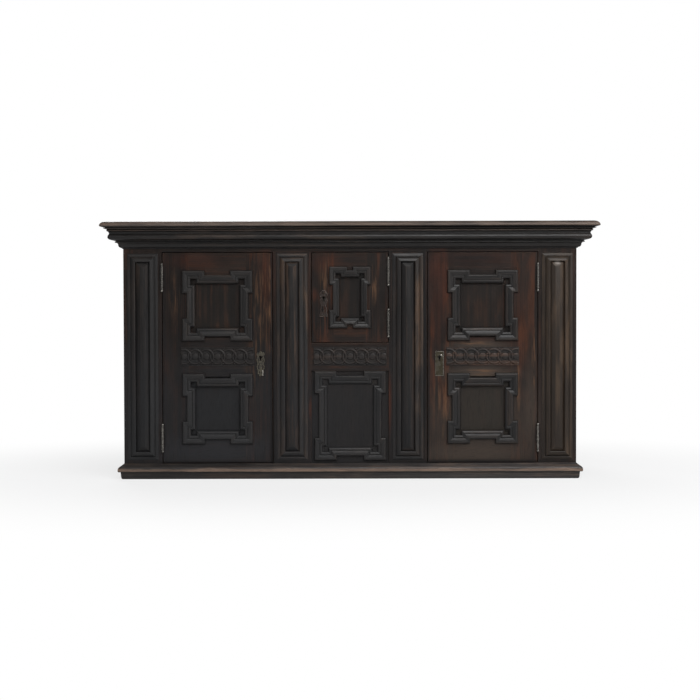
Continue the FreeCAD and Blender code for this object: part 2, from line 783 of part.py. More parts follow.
board_count = int(SIZES["back_board_count"])
board_width = 2 * rear_inner / board_count
back_boards = []
for index in range(board_count):
    start = board_width * index - rear_inner
    back_boards.append(box(f"back_board_{index}", (start, start + board_width),
                           (back - cell("back_board_thickness"), back), (toe, case_top)))
keep(group("back_boards", back_boards), "back_boards")

# Floor, shelf, partitions and the bearers that carry them.
plank_count = int(SIZES["planks_in_depth"])


def planks(name, xs, ys, zs):
    width = (ys[1] - ys[0]) / plank_count
    boards = []
    for index in range(plank_count):
        start = ys[0] + width * index
        boards.append(box(f"{name}_{index}", xs, (start, start + width), zs))
    return group(name, boards)


inside_span = (-side_inside, side_inside)
keep(planks("floor_planks", inside_span, side_ys, (floor_foot, plinth_top)), "floor_boards")
keep(planks("shelf_planks", inside_span, side_ys, (shelf_foot, sill)), "middle_shelf")
bearer = cell("bearer")
fore_ys = (inside_front, inside_front + bearer)
rear_ys = (inside_back - bearer, inside_back)
floor_zs = (floor_foot - bearer, floor_foot)
shelf_zs = (shelf_foot - bearer, shelf_foot)
bearers = [
    box("floor_front_bearer", inside_span, fore_ys, floor_zs),
    box("floor_rear_bearer", inside_span, rear_ys, floor_zs),
    box("shelf_rear_bearer", inside_span, rear_ys, shelf_zs),
    box("shelf_front_bearer", (-bay_edge, bay_edge), fore_ys, shelf_zs),
]
for name, side in SIDES.items():
    bearers.append(box(name + "_shelf_bearer", mirrored(side, side_inside - bearer, side_inside),
                       (inside_front, inside_back - bearer), shelf_zs))
keep(group("bearers", bearers), "bearers")
half_board = cell("partition_board") / 2
post_middle = (inner_edge + bay_edge) / 2
keep(group("partitions", [
    box(name + "_partition", mirrored(side, post_middle - half_board, post_middle + half_board), side_ys,
        (sill, case_top))
    for name, side in SIDES.items()
]), "partitions")

# Cornice, top boards and plinth.
bed_height = cell("bed_height")
bed_points = [(zero, cornice_foot)] + shared(BED_OUTLINE_SHARES, cell("bed_reach"), bed_height, cornice_foot)
bed_points.append((zero, crown_foot))
keep(three_sided("bed", bed_points, zero), "cornice_bed")
crown_height = cell("crown_height")
crown_reach = cell("crown_reach")
crown_points = [(zero, crown_foot)] + shared(CROWN_OUTLINE_SHARES, crown_reach, crown_height, crown_foot)
crown_points.append((zero, case_top))
keep(three_sided("crown", crown_points, zero), "cornice_crown")
nosing_height = cell("nosing_height")
lap = cell("nosing_lap")
nosing_reach = cell("cornice_reach")
nosing_points = [(-lap, case_top)] + shared(NOSING_OUTLINE_SHARES, nosing_reach, nosing_height, case_top)
nosing_points.append((-lap, case_top + nosing_height))
keep(three_sided("nosing", nosing_points, lap), "cornice_nosing")
top_xs = (-case_edge + lap, case_edge - lap)
keep(planks("top_planks", top_xs, (front + lap, back), (case_top, case_top + nosing_height)), "top_boards")
plinth_points = shared(FOOT_OUTLINE_SHARES, cell("fascia_reach"), plinth_top, zero)
plinth_points += shared(PLINTH_OUTLINE_SHARES, cell("plinth_reach"), plinth_top, zero)
keep(three_sided("plinth", plinth_points, zero), "plinth")

# Pilasters: a moulded frame and a hipped panel on each front post.
pilaster_zs = (plinth_top + cell("pilaster_foot_gap"), opening_top - cell("pilaster_top_gap"))
half_width = cell("pilaster_width") / 2
half_height = (pilaster_zs[1] - pilaster_zs[0]) / 2
pilaster_band = cell("pilaster_band")
pilaster_rise = cell("pilaster_rise")
post_middles = {
    "left_outer": -(outer_edge + case_edge) / 2,
    "left_inner": -post_middle,
    "right_inner": post_middle,
    "right_outer": (outer_edge + case_edge) / 2,
}
for name, middle in post_middles.items():
    path = [(zero, -half_height), (half_width, -half_height), (half_width, half_height),
            (-half_width, half_height), (-half_width, -half_height)]
    profile = [(zero, -half_height)]
    for across, up in PILASTER_OUTLINE_SHARES:
        profile.append((-up * pilaster_rise, across * pilaster_band - half_height))
    profile.append((zero, pilaster_band - half_height))
    frame = pipe(name + "_pilaster", "YZ_Plane", profile, "XZ_Plane", path, True)
    centre_height = (pilaster_zs[0] + pilaster_zs[1]) / 2
    set_at(frame, middle, front, centre_height)
    keep(frame, name + "_pilaster_frame")
    field_width = half_width - pilaster_band
    field_height = half_height - pilaster_band
    bevel = 2 * field_width * HIP_BEVEL_SHARE
    wedge = doc.addObject("Part::Wedge", name + "_field")
    hip = cell("hip_length")
    corners = {
        "Xmin": -field_width,
        "Xmax": field_width,
        "X2min": bevel - field_width,
        "X2max": field_width - bevel,
        "Ymin": zero,
        "Ymax": cell("pilaster_panel_rise"),
        "Zmin": -field_height,
        "Zmax": field_height,
        "Z2min": hip - field_height,
        "Z2max": field_height - hip,
    }
    for path_name, value in corners.items():
        bind(wedge, path_name, value)
    wedge.Placement.Rotation = FreeCAD.Rotation(FreeCAD.Vector(0, 0, 1), 180)
    set_at(wedge, middle, front, centre_height)
    keep(wedge, name + "_pilaster_panel")

doc.recompute()

for item in doc.Objects:
    if "Invalid" in item.State or "Error" in item.State:
        raise RuntimeError(f"{item.Name} did not compute: {item.State}")
for item in nodes:
    if item.Shape.isNull() or not item.Shape.isValid():
        raise RuntimeError(f"{item.Label} has no valid shape")
for item in nodes:
    item.Shape.exportStep(f"parts/{item.Label}.step")
print(len(nodes), "nodes")
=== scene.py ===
import json
import math
import random

import bmesh
import bpy
from mathutils import Euler, Matrix, Vector
from mathutils.bvhtree import BVHTree


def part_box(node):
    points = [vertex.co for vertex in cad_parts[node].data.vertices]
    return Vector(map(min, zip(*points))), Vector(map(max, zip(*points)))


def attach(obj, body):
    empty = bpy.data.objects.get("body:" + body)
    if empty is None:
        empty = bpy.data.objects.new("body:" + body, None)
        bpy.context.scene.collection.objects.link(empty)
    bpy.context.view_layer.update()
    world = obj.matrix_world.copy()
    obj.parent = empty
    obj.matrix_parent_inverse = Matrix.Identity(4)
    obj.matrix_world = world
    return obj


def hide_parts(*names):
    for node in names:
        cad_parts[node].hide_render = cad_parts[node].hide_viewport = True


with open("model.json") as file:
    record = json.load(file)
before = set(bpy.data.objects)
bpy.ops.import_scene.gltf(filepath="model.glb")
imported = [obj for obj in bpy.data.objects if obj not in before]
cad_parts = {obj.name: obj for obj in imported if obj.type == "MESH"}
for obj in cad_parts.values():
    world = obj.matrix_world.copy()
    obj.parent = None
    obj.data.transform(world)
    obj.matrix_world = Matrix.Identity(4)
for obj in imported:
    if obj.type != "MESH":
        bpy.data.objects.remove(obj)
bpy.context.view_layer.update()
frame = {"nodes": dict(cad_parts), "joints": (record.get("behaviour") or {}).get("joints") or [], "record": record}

# A low oak court cupboard, nearly black with old wax. Metres: the front faces -Y, the floor is
# at zero. Outlines are written in millimetres and come to metres through MM. A tone is a pair:
# how light and how warm a board is beside its neighbours.

MM = 0.001
UP = Vector((0, 0, 1))
OUTWARD = Vector((0, -1, 0))
ZERO = [0.0, 0.0, 0.0]
FAR = [9.0, 9.0, 9.0]
BODY_OF = {node: body for body, nodes in frame["record"]["behaviour"]["bodies"].items() for node in nodes}
SLOT_OF = {part["node"]: part["material_slot"] for part in frame["record"]["subparts"]}
SLOT_OF["rear_rails"] = "oak_board"


# Places read from the frame.
def low(node):
    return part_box(node)[0]


def high(node):
    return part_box(node)[1]


def middle(node):
    return (low(node) + high(node)) / 2


def half_size(node):
    return (high(node) - low(node)) / 2


CASE_EDGE = high("right_outer_post").x
CASE_FRONT = low("frieze_rail").y
CASE_BACK = high("back_boards").y
CASE_TOP = low("cornice_nosing").z
DOOR_MIDDLE = middle("right_door_mouldings").x
SIDES = {"left": -1, "right": 1}
DOORS = {"left": "left_door", "centre": "centre_door", "right": "right_door"}
PLATES = {side: middle(door + "_escutcheon") for side, door in DOORS.items()}


# Wiring of nodes, for materials and geometry alike.
class Wiring:
    """Places nodes in one tree and joins them."""

    def __init__(self, tree):
        self.tree = tree

    def node(self, kind, inputs=None, **settings):
        item = self.tree.nodes.new(kind)
        for name, value in settings.items():
            setattr(item, name, value)
        for name, value in (inputs or {}).items():
            self.feed(item.inputs[name], value)
        return item

    def first(self, kind, inputs=None, **settings):
        return self.node(kind, inputs, **settings).outputs[0]

    def feed(self, socket, value):
        if isinstance(value, bpy.types.NodeSocket):
            self.tree.links.new(value, socket)
        else:
            socket.default_value = (*value, 1.0) if socket.type == "RGBA" else value

    def sockets(self, direction, sort, labels):
        for label in labels:
            self.tree.interface.new_socket(name=label, in_out=direction, socket_type="NodeSocket" + sort)

    def calc(self, operation, *values, clamp=False):
        return self.first("ShaderNodeMath", dict(enumerate(values)), operation=operation, use_clamp=clamp)

    def times(self, first, second, clamp=False):
        return self.calc("MULTIPLY", first, second, clamp=clamp)

    def add(self, first, factor, second, clamp=False):
        """The first value times the factor, plus the second value."""
        return self.calc("MULTIPLY_ADD", first, factor, second, clamp=clamp)

    def between(self, value, start, end, least=0.0, most=1.0):
        inputs = dict(enumerate((value, start, end, least, most)))
        return self.first("ShaderNodeMapRange", inputs, interpolation_type="SMOOTHSTEP")

    def vector(self, operation, first, second=ZERO):
        return self.first("ShaderNodeVectorMath", {0: first, 1: second}, operation=operation)

    def length(self, vector):
        return self.node("ShaderNodeVectorMath", {0: vector}, operation="LENGTH").outputs["Value"]

    def noise(self, vector, scale, detail=2.0, roughness=0.5):
        inputs = {"Vector": vector, "Scale": scale, "Detail": detail, "Roughness": roughness}
        return self.first("ShaderNodeTexNoise", inputs)

    def drawn(self, vector, stretch, detail, roughness=0.5):
        """Noise drawn out along the board."""
        return self.noise(self.vector("MULTIPLY", vector, stretch), 1.0, detail, roughness)

    def blend(self, share, first, second):
        return self.node("ShaderNodeMix", {0: share, 6: first, 7: second}, data_type="RGBA").outputs[2]

    def parts(self, vector):
        return self.node("ShaderNodeSeparateXYZ", {0: vector}).outputs[:3]

    def joined(self, x, y, z):
        return self.first("ShaderNodeCombineXYZ", {0: x, 1: y, 2: z})

    def attribute(self, name, output="Vector"):
        return self.node("ShaderNodeAttribute", attribute_name=name).outputs[output]

    def placed(self, group, inputs):
        return self.node("ShaderNodeGroup", inputs, node_tree=group).outputs

    def bump(self, strength, distance, height):
        return self.first("ShaderNodeBump", {"Strength": strength, "Distance": distance, "Height": height})


# Shader groups: each puts out masks that the finishes below mix in their own way.
def mask_group(name, masks, vectors, numbers=()):
    """A group that puts out the masks of a function, which gets the group's inputs in their order."""
    w = Wiring(bpy.data.node_groups.new(name, "ShaderNodeTree"))
    w.sockets("INPUT", "Vector", vectors)
    w.sockets("INPUT", "Float", numbers)
    given = w.node("NodeGroupInput").outputs
    made = masks(w, *(given[label] for label in (*vectors, *numbers)))
    w.sockets("OUTPUT", "Float", made)
    w.node("NodeGroupOutput", made)
    return w.tree


def oak_figure(w, grain, ring_width, wander):
    """Year rings, long bands, streaks, fibres, pores and broad clouds along a board's grain."""
    drift = w.noise(w.vector("MULTIPLY", grain, (1.0, 1.0, 0.16)), 7.0, 2.0)
    across, depth, along = w.parts(grain)
    shifted = w.add(w.calc("SUBTRACT", drift, 0.5), wander, across)
    turns = w.calc("DIVIDE", w.add(depth, 0.4, shifted), ring_width)
    wave = w.calc("SINE", w.times(turns, math.tau))
    return {
        "Rings": w.calc("POWER", w.add(wave, 0.5, 0.5), 2.0),
        "Bands": w.drawn(grain, (62, 62, 1.7), 2, 0.55),
        "Streaks": w.between(w.drawn(grain, (135, 135, 9), 3, 0.6), 0.44, 0.68),
        "Fibre": w.drawn(grain, (260, 260, 9), 3, 0.6),
        "Pores": w.between(w.drawn(grain, (620, 620, 26), 1), 0.58, 0.7),
        "Clouds": w.drawn(grain, (11, 11, 3.6), 3, 0.55),
        "Islands": w.between(w.drawn(grain, (24, 24, 5.5), 3, 0.6), 0.4, 0.62),
        "Flecks": w.between(w.drawn(grain, (75, 160, 24), 2), 0.6, 0.72),
    }


def arris_wear(w, place, half, grain, crest, opened, reach, ragged):
    """Wood rubbed bare at open arrises and crests, dirt and painted shade where the crest is below zero, and the
    dark lines where boards meet.
    """
    inward = w.vector("SUBTRACT", half, w.vector("ABSOLUTE", place))
    across, depth, along = w.parts(inward)
    nearer = w.calc("MINIMUM", across, depth)
    farther = w.calc("MAXIMUM", across, depth)
    second = w.calc("MAXIMUM", nearer, w.calc("MINIMUM", farther, along))
    near = w.between(w.calc("DIVIDE", second, reach), 0.0, 1.0, 1.0, 0.0)
    patches = w.drawn(grain, (40, 40, 6.5), 3, 0.55)
    uneven = w.times(w.calc("SUBTRACT", patches, 0.5), ragged)
    strongest = w.calc("MAXIMUM", w.times(near, opened), crest)
    shut = w.calc("SUBTRACT", 1.0, opened, clamp=True)
    return {
        "Rubbed": w.between(w.calc("ADD", strongest, uneven), 0.45, 1.1),
        # Dirt and painted shade in hollows and under overhangs, where the crest is below zero.
        "Sunk": w.between(crest, 0.0, -1.0),
        "Joint": w.times(w.between(second, 0.0, 1.4 * MM, 1.0, 0.0), shut),
    }


def greyed_wax(w, place, clouds):
    """Old wax gone grey with a painted sheen, lighter towards the floor, most of all on the left half of the
    front.
    """
    across, depth, height = w.parts(place)
    uneven = w.add(w.calc("SUBTRACT", clouds, 0.5), 0.55, height)
    lower = w.between(uneven, 0.30, 0.66, 1.0, 0.0)
    return {"Grey": w.times(lower, w.between(across, -0.5, 0.62, 1.0, 0.35))}


def old_wax(w, place, grain):
    """Dulled and polished patches, thick dull wax with painted shade on the left, scratches and a hand plane's
    hollows.
    """
    return {
        "Dulled": w.between(w.drawn(grain, (34, 34, 9), 4, 0.65), 0.3, 0.7),
        "Thick": w.between(w.parts(place)[0], -0.6, 0.66, 1.0, 0.0),
        "Scratches": w.between(w.drawn(place, (45, 300, 210), 2, 0.7), 0.66, 0.74),
        "Planing": w.drawn(grain, (26, 26, 5), 1),
    }


def hand_rub(w, place, centre, reach, streaks):
    """A soft oval round one place, where hands and keys have rubbed the wax away."""
    away = w.vector("DIVIDE", w.vector("SUBTRACT", place, centre), reach)
    return {"Rubbed": w.times(w.between(w.length(away), 0.15, 1.0, 1.0, 0.0), streaks)}


def forged_iron(w, place, fineness):
    """Hammer marks, brown rust and bright rubbed spots on iron."""
    place = w.first("ShaderNodeVectorMath", {0: place, "Scale": fineness}, operation="SCALE")
    return {
        "Rust": w.between(w.noise(place, 95.0, 4.0, 0.65), 0.42, 0.64),
        "Bright": w.between(w.noise(place, 210.0), 0.5, 0.7),
        "Hammer": w.noise(place, 160.0, 1.0),
    }


OAK_FIGURE = mask_group("oak_figure", oak_figure, ["Grain"], ["Ring Width", "Wander"])
ARRIS_WEAR_AND_SHADE = mask_group("arris_wear", arris_wear, ["Place", "Half", "Grain"],
                        ["Crest", "Open", "Reach", "Ragged"])
GREYED_WAX_AND_SHEEN = mask_group("greyed_wax", greyed_wax, ["Place"], ["Clouds"])
OLD_WAX = mask_group("old_wax", old_wax, ["Place", "Grain"])
HAND_RUB = mask_group("hand_rub", hand_rub, ["Place", "Centre", "Reach"], ["Streaks"])
FORGED_IRON = mask_group("forged_iron", forged_iron, ["Place"], ["Fineness"])


# Colours that more than one finish uses.
# Near black: dirt in pores and joints, and painted shade in hollows, gaps, keyholes and beside hinges.
DIRT_AND_SHADE = (0.0045, 0.004, 0.004)
# Blue-grey of old wax, and of a painted sheen near the floor.
WAX_GREY_AND_SHEEN = (0.0158, 0.0162, 0.0178)
GREY_DUST = (0.09, 0.085, 0.08)
EMBER = (0.085, 0.021, 0.0072)
BARE = (0.17, 0.085, 0.042)
OLIVE = (0.0265, 0.0215, 0.0165)
UMBER = (0.048, 0.036, 0.028)
SOOT = (0.008, 0.007, 0.0065)
SLATE = (0.025, 0.025, 0.028)
DUST = (0.115, 0.105, 0.098)
# Pale colour of a painted highlight.
HIGHLIGHT_PALE = (0.24, 0.215, 0.195)


def new_finish(name):
    """A material, its wiring, its shader's inputs and the place on the object."""
    material = bpy.data.materials.new(name)
    material.use_nodes = True
    w = Wiring(material.node_tree)
    shader = material.node_tree.nodes["Principled BSDF"].inputs
    return material, w, shader, w.node("ShaderNodeTexCoord").outputs["Object"]


def oak(name, deep, light, warm, worn, reach=6.0, ragged=1.6, ring=9.0, gloss=(0.36, 0.48), level=0.3,
        dust=0.0, touches=(), worn_share=0.5, relief=0.25, grey=0.6, left_wax_and_shade=0.0):
    """Oak under old wax: deep and light grain, a warm ground, worn arrises, grey dust, grey wax with a painted
    sheen low down, and dirt with painted shade in hollows.

    Touches are (colour, the figure's mark it follows or None, places of (centre, reach, strength))."""
    material, w, shader, place = new_finish(name)
    grain = w.attribute("grain")
    lightness, warmth, opened = w.parts(w.attribute("tone"))
    figure = w.placed(OAK_FIGURE, {"Grain": grain, "Ring Width": ring * MM, "Wander": 0.05})
    wear_and_shade = w.placed(ARRIS_WEAR_AND_SHADE, {
        "Place": w.attribute("place"), "Half": w.attribute("half"), "Grain": grain,
        "Crest": w.attribute("crest", "Fac"), "Open": opened, "Reach": reach * MM, "Ragged": ragged,
    })
    wax = w.placed(OLD_WAX, {"Place": place, "Grain": grain})
    body = w.add(figure["Fibre"], 0.6, w.times(figure["Rings"], 0.2))
    body = w.add(figure["Bands"], 0.7, body)
    body = w.add(figure["Clouds"], 0.5, body)
    body = w.between(w.add(lightness, 0.3, body), 0.7, 1.3)
    patches = w.add(figure["Bands"], 0.6, w.times(figure["Clouds"], 0.4))
    warming = w.times(warmth, w.between(patches, 0.42, 0.58))
    warming = w.times(warming, w.add(figure["Islands"], 0.9, 0.25), clamp=True)
    covers = [(warming, w.add(body, 0.6, 0.4), warm),
              (w.calc("SUBTRACT", 1.0, figure["Islands"]), 0.42, deep)]
    # Grey wax with a painted sheen, lighter towards the floor.
    if grey:
        greyed = w.placed(GREYED_WAX_AND_SHEEN, {"Place": place, "Clouds": figure["Clouds"]})
        covers.append((greyed["Grey"], grey, WAX_GREY_AND_SHEEN))
    for tint, mark, spots in touches:
        for centre, spread, strength in spots:
            rub = w.placed(HAND_RUB, {"Place": place, "Centre": centre, "Reach": spread,
                                      "Streaks": figure[mark] if mark else 1.0})
            covers.append((rub["Rubbed"], strength, tint))
    # Less bare wood on the left: painted shade there, beside the rougher thick wax.
    bared = w.add(wax["Thick"], -left_wax_and_shade * worn_share, worn_share)
    covers += [(wear_and_shade["Rubbed"], bared, worn), (figure["Flecks"], 0.12, light), (figure["Pores"], 0.5, DIRT_AND_SHADE)]
    if dust:
        covers.append((wax["Dulled"], dust, GREY_DUST))
    # Dirt with painted shade where the crest is below zero; dark joints where boards meet.
    covers += [(wear_and_shade["Sunk"], 0.75, DIRT_AND_SHADE), (wear_and_shade["Joint"], 0.8, DIRT_AND_SHADE)]
    base = w.blend(body, deep, light)
    for mask, amount, tint in covers:
        base = w.blend(w.times(mask, amount), base, tint)
    w.feed(shader["Base Color"], base)
    rough = w.between(wax["Dulled"], 0.0, 1.0, *gloss)
    rough = w.add(figure["Pores"], 0.15, rough)
    rough = w.add(wax["Thick"], 0.15 * left_wax_and_shade, rough)
    w.feed(shader["Roughness"], w.add(wax["Scratches"], 0.08, rough, clamp=True))
    shader["Specular IOR Level"].default_value = level
    height = w.add(figure["Pores"], -0.5, w.times(figure["Fibre"], 0.5))
    height = w.add(wax["Planing"], 1.6, height)
    height = w.add(wax["Scratches"], -0.2, height)
    w.feed(shader["Normal"], w.bump(relief, 0.6 * MM, height))
    return material


def iron(name, steel, rust, rust_share, rough, metal, fineness=1.0):
    """Forged iron with rust in its hammer marks."""
    material, w, shader, place = new_finish(name)
    forged = w.placed(FORGED_IRON, {"Place": place, "Fineness": fineness})
    base = w.blend(w.times(forged["Rust"], rust_share), steel, rust)
    base = w.blend(w.times(forged["Bright"], 0.3), base, [min(1, 1.6 * level) for level in steel])
    w.feed(shader["Base Color"], base)
    w.feed(shader["Metallic"], w.between(forged["Rust"], 0.0, 1.0, metal, metal * 0.35))
    w.feed(shader["Roughness"], w.between(forged["Rust"], 0.0, 1.0, rough, rough + 0.25))
    w.feed(shader["Normal"], w.bump(0.35, 0.5 * MM, forged["Hammer"]))
    return material


def places(depth, *rows):
    """Soft ovals on the front, of one depth; a row gives x, z, the reach along both and the strength."""
    return [((x, CASE_FRONT, z), (wide, depth, tall), strength) for x, z, wide, tall, strength in rows]


RUBBED_PLACES = places(
    0.2,
    (PLATES["left"].x + 0.002, 0.70, 0.05, 0.36, 0.34),
    (PLATES["left"].x - 0.03, 0.45, 0.05, 0.2, 0.22),
    (PLATES["centre"].x + 0.005, 0.81, 0.03, 0.1, 0.45),
    (PLATES["centre"].x + 0.2, 0.78, 0.018, 0.11, 0.8),
    (PLATES["right"].x + 0.01, 0.30, 0.05, 0.20, 0.42),
    (0.486, 0.541, 0.12, 0.014, 0.8),
    (0.515, 0.426, 0.09, 0.02, 0.5),
    (0.67, 0.37, 0.014, 0.14, 0.6),
    (0.733, 0.42, 0.012, 0.26, 0.8),
    (-0.70, 0.74, 0.03, 0.14, 0.3),
    (-0.317, 0.68, 0.008, 0.38, 1.0),
)
WARM_PLACES = places(
    0.2,
    (0.345, 0.76, 0.06, 0.30, 0.7),
    (0.372, 0.80, 0.03, 0.17, 0.9),
    (0.335, 0.84, 0.03, 0.08, 0.7),
    (0.50, 0.55, 0.13, 0.022, 0.5),
    (0.50, 0.875, 0.22, 0.045, 0.5),
    (0.372, 0.33, 0.02, 0.10, 0.5),
    (0.64, 0.62, 0.09, 0.28, 0.35),
    (0.157, 0.30, 0.012, 0.16, 0.8),
    (-0.157, 0.28, 0.012, 0.06, 0.6),
    (-0.142, 0.734, 0.02, 0.04, 0.7),
    (-0.09, 0.86, 0.09, 0.06, 0.4),
    (-0.33, 0.80, 0.05, 0.20, 0.5),
    (-0.62, 0.87, 0.14, 0.05, 0.4),
)
# Painted shade in and round each keyhole.
KEYHOLE_SHADE = [(plate.x, plate.z + 0.022, 0.018, 0.024, 1.0) for plate in PLATES.values()]
# Painted shade beside the hinge barrels.
HINGE_SHADE = [(x, z, wide, 0.07, 0.95) for x, wide, heights in (
    (-0.7478, 0.017, (0.80, 0.168)), (0.7478, 0.017, (0.80, 0.168)), (0.1528, 0.015, (0.82, 0.62)),
) for z in heights]
# Painted shade in the gaps round the doors and along their feet, with the keyhole and hinge shade; two ovals
# darken the right door's wood.
SHADE_AND_DARK_PLACES = places(
    0.2,
    *KEYHOLE_SHADE,
    (0.3094, 0.483, 0.012, 0.9, 0.9),
    (0.2945, 0.483, 0.014, 0.9, 1.0),
    (-0.3094, 0.40, 0.015, 0.8, 1.0),
    (-0.3094, 0.10, 0.018, 0.12, 0.8),
    (0.7466, 0.483, 0.009, 0.62, 0.5),
    (-0.7466, 0.483, 0.009, 0.62, 0.5),
    (0.1530, 0.723, 0.009, 0.28, 0.7),
    (-0.1530, 0.723, 0.009, 0.28, 0.6),
    (0.528, 0.0644, 0.6, 0.018, 0.95),
    (-0.528, 0.0644, 0.6, 0.014, 0.8),
    (0.345, 0.74, 0.06, 0.30, 0.55),
    (0.50, 0.875, 0.22, 0.045, 0.75),
    *HINGE_SHADE,
)
UMBER_PLACES = places(
    0.3,
    (0.53, 0.20, 0.36, 0.26, 0.55),
    (0.48, 0.10, 0.30, 0.07, 0.7),
    (0.52, 0.415, 0.22, 0.05, 1.0),
    (0.52, 0.53, 0.18, 0.035, 0.8),
    (0.72, 0.30, 0.04, 0.26, 0.5),
)
FRAME_TOUCHES = (
    (EMBER, "Bands", WARM_PLACES),
    (UMBER, None, UMBER_PLACES),
    (SLATE, None, places(0.3, (-0.54, 0.12, 0.36, 0.10, 0.6))),
    (BARE, "Streaks", RUBBED_PLACES),
    (DIRT_AND_SHADE, None, SHADE_AND_DARK_PLACES),
)
PANEL_TOUCHES = ((OLIVE, None, places(0.3, (0.528, 0.26, 0.34, 0.34, 0.7))),)
CORNICE_TOUCHES = ((SOOT, None, places(0.4, (0.62, 0.96, 0.7, 0.2, 0.8))),)
NOSING_TOUCHES = ((SOOT, None, places(0.6, (0.62, 1.01, 0.75, 0.3, 0.9))),
                  (DUST, None, places(0.4, (-0.6, 1.01, 0.7, 0.2, 0.35))))
PLINTH_TOUCHES = ((SOOT, None, places(0.4, (-0.62, 0.02, 0.8, 0.16, 0.6))),
                  (DUST, None, places(0.3, (0.5, 0.01, 0.6, 0.04, 0.16))))
# A pale spot on the rightmost pilaster's top hip: a painted highlight.
HIGHLIGHT_TOUCHES = ((HIGHLIGHT_PALE, None, places(0.1, (0.8255, 0.860, 0.017, 0.011, 0.9))),)

frame_oak = oak("frame_oak", (0.006, 0.0043, 0.0036), (0.0235, 0.0135, 0.0095), (0.056, 0.0185, 0.008),
                BARE, reach=2.5, level=0.19, touches=FRAME_TOUCHES, worn_share=0.16)
panel_oak = oak("panel_oak", (0.008, 0.0062, 0.0052), (0.0175, 0.0122, 0.0096), (0.036, 0.016, 0.009),
                (0.08, 0.05, 0.03), reach=3.0, ring=12.0, gloss=(0.38, 0.48), level=0.19,
                touches=PANEL_TOUCHES, worn_share=0.15, grey=0.85)
moulding_oak = oak("moulding_oak", (0.0055, 0.005, 0.0049), (0.0165, 0.0138, 0.0127),
                   (0.066, 0.039, 0.024), (0.085, 0.066, 0.052), reach=3.0, ragged=1.1,
                   gloss=(0.3, 0.4), level=0.32, worn_share=0.3, left_wax_and_shade=0.8)
field_oak = oak("field_oak", (0.0052, 0.0047, 0.0046), (0.0155, 0.013, 0.012), (0.075, 0.043, 0.026),
                (0.08, 0.062, 0.048), reach=3.0, ragged=1.1, gloss=(0.42, 0.52), level=0.23,
                worn_share=0.25, left_wax_and_shade=0.8)
cornice_oak = oak("cornice_oak", (0.0052, 0.0048, 0.0048), (0.0165, 0.0138, 0.0125),
                  (0.045, 0.029, 0.020), (0.115, 0.082, 0.062), reach=4.0, ragged=1.1,
                  gloss=(0.3, 0.4), level=0.31, worn_share=0.35, grey=0.0, touches=CORNICE_TOUCHES)
nosing_oak = oak("nosing_oak", (0.0095, 0.0068, 0.0056), (0.046, 0.031, 0.0235), (0.10, 0.05, 0.03),
                 (0.165, 0.113, 0.082), reach=5.0, gloss=(0.4, 0.5), dust=0.06, grey=0.0,
                 touches=NOSING_TOUCHES)
plinth_oak = oak("plinth_oak", (0.014, 0.013, 0.013), (0.058, 0.048, 0.044), (0.10, 0.062, 0.042),
                 (0.25, 0.168, 0.122), reach=4.0, ragged=1.1, gloss=(0.36, 0.46), worn_share=0.75,
                 dust=0.1, grey=0.0, touches=PLINTH_TOUCHES)
top_oak = oak("top_oak", (0.02, 0.014, 0.011), (0.07, 0.048, 0.036), (0.10, 0.058, 0.038),
              (0.17, 0.12, 0.085), gloss=(0.44, 0.54), dust=0.1, grey=0.0)
inside_oak = oak("inside_oak", (0.04, 0.027, 0.019), (0.16, 0.11, 0.075), (0.19, 0.11, 0.065),
                 (0.24, 0.17, 0.12), gloss=(0.62, 0.72), level=0.25, dust=0.08, relief=0.4, grey=0.0)
back_oak = oak("back_oak", (0.028, 0.021, 0.017), (0.09, 0.066, 0.05), (0.11, 0.072, 0.05),
               (0.15, 0.115, 0.09), gloss=(0.7, 0.8), level=0.2, dust=0.2, relief=0.6, grey=0.0)
# A lighter, warmer copy of the moulding oak for the rightmost pilaster: painted light from the right.
sunned_oak = oak("sunned_oak", (0.0125, 0.0088, 0.0062), (0.034, 0.0225, 0.0145), (0.06, 0.038, 0.023),
                 (0.115, 0.082, 0.058), reach=3.0, ragged=0.8, gloss=(0.36, 0.46), level=0.27,
                 worn_share=0.24, grey=0.3, touches=HIGHLIGHT_TOUCHES)
carved_oak = oak("carved_oak", (0.008, 0.0061, 0.0054), (0.0255, 0.0187, 0.0153), (0.066, 0.034, 0.021),
                 (0.085, 0.06, 0.044), reach=2.0, ragged=0.9, gloss=(0.42, 0.52), worn_share=0.06,
                 grey=0.45, left_wax_and_shade=0.8)
hinge_iron = iron("hinge_iron", (0.20, 0.188, 0.17), (0.013, 0.009, 0.007), 0.85, 0.15, 0.95, 2.0)
pierced_iron = iron("pierced_iron", (0.125, 0.112, 0.085), (0.012, 0.01, 0.008), 0.97, 0.3, 0.9, 1.25)
plate_iron = iron("plate_iron", (0.066, 0.057, 0.038), (0.022, 0.0175, 0.0115), 0.6, 0.28, 0.9, 0.8)
brown_iron = iron("brown_iron", (0.05, 0.036, 0.03), (0.01, 0.007, 0.006), 0.9, 0.3, 0.85, 1.25)
umber_iron = iron("umber_iron", (0.12, 0.092, 0.08), (0.02, 0.014, 0.011), 0.8, 0.3, 0.85, 1.25)
# Lighter iron on the right plate's rim: a painted highlight along its raised edge.
rim_iron = iron("rim_iron", (0.17, 0.155, 0.13), (0.03, 0.022, 0.016), 0.6, 0.26, 0.9, 0.8)
dark_iron = iron("dark_iron", (0.022, 0.018, 0.014), (0.009, 0.007, 0.005), 0.6, 0.35, 0.85, 0.8)
bright_iron = iron("bright_iron", (0.32, 0.30, 0.27), (0.05, 0.035, 0.025), 0.5, 0.2, 0.95, 2.0)
lock_iron = iron("lock_iron", (0.13, 0.125, 0.12), (0.07, 0.045, 0.03), 0.7, 0.5, 0.7)


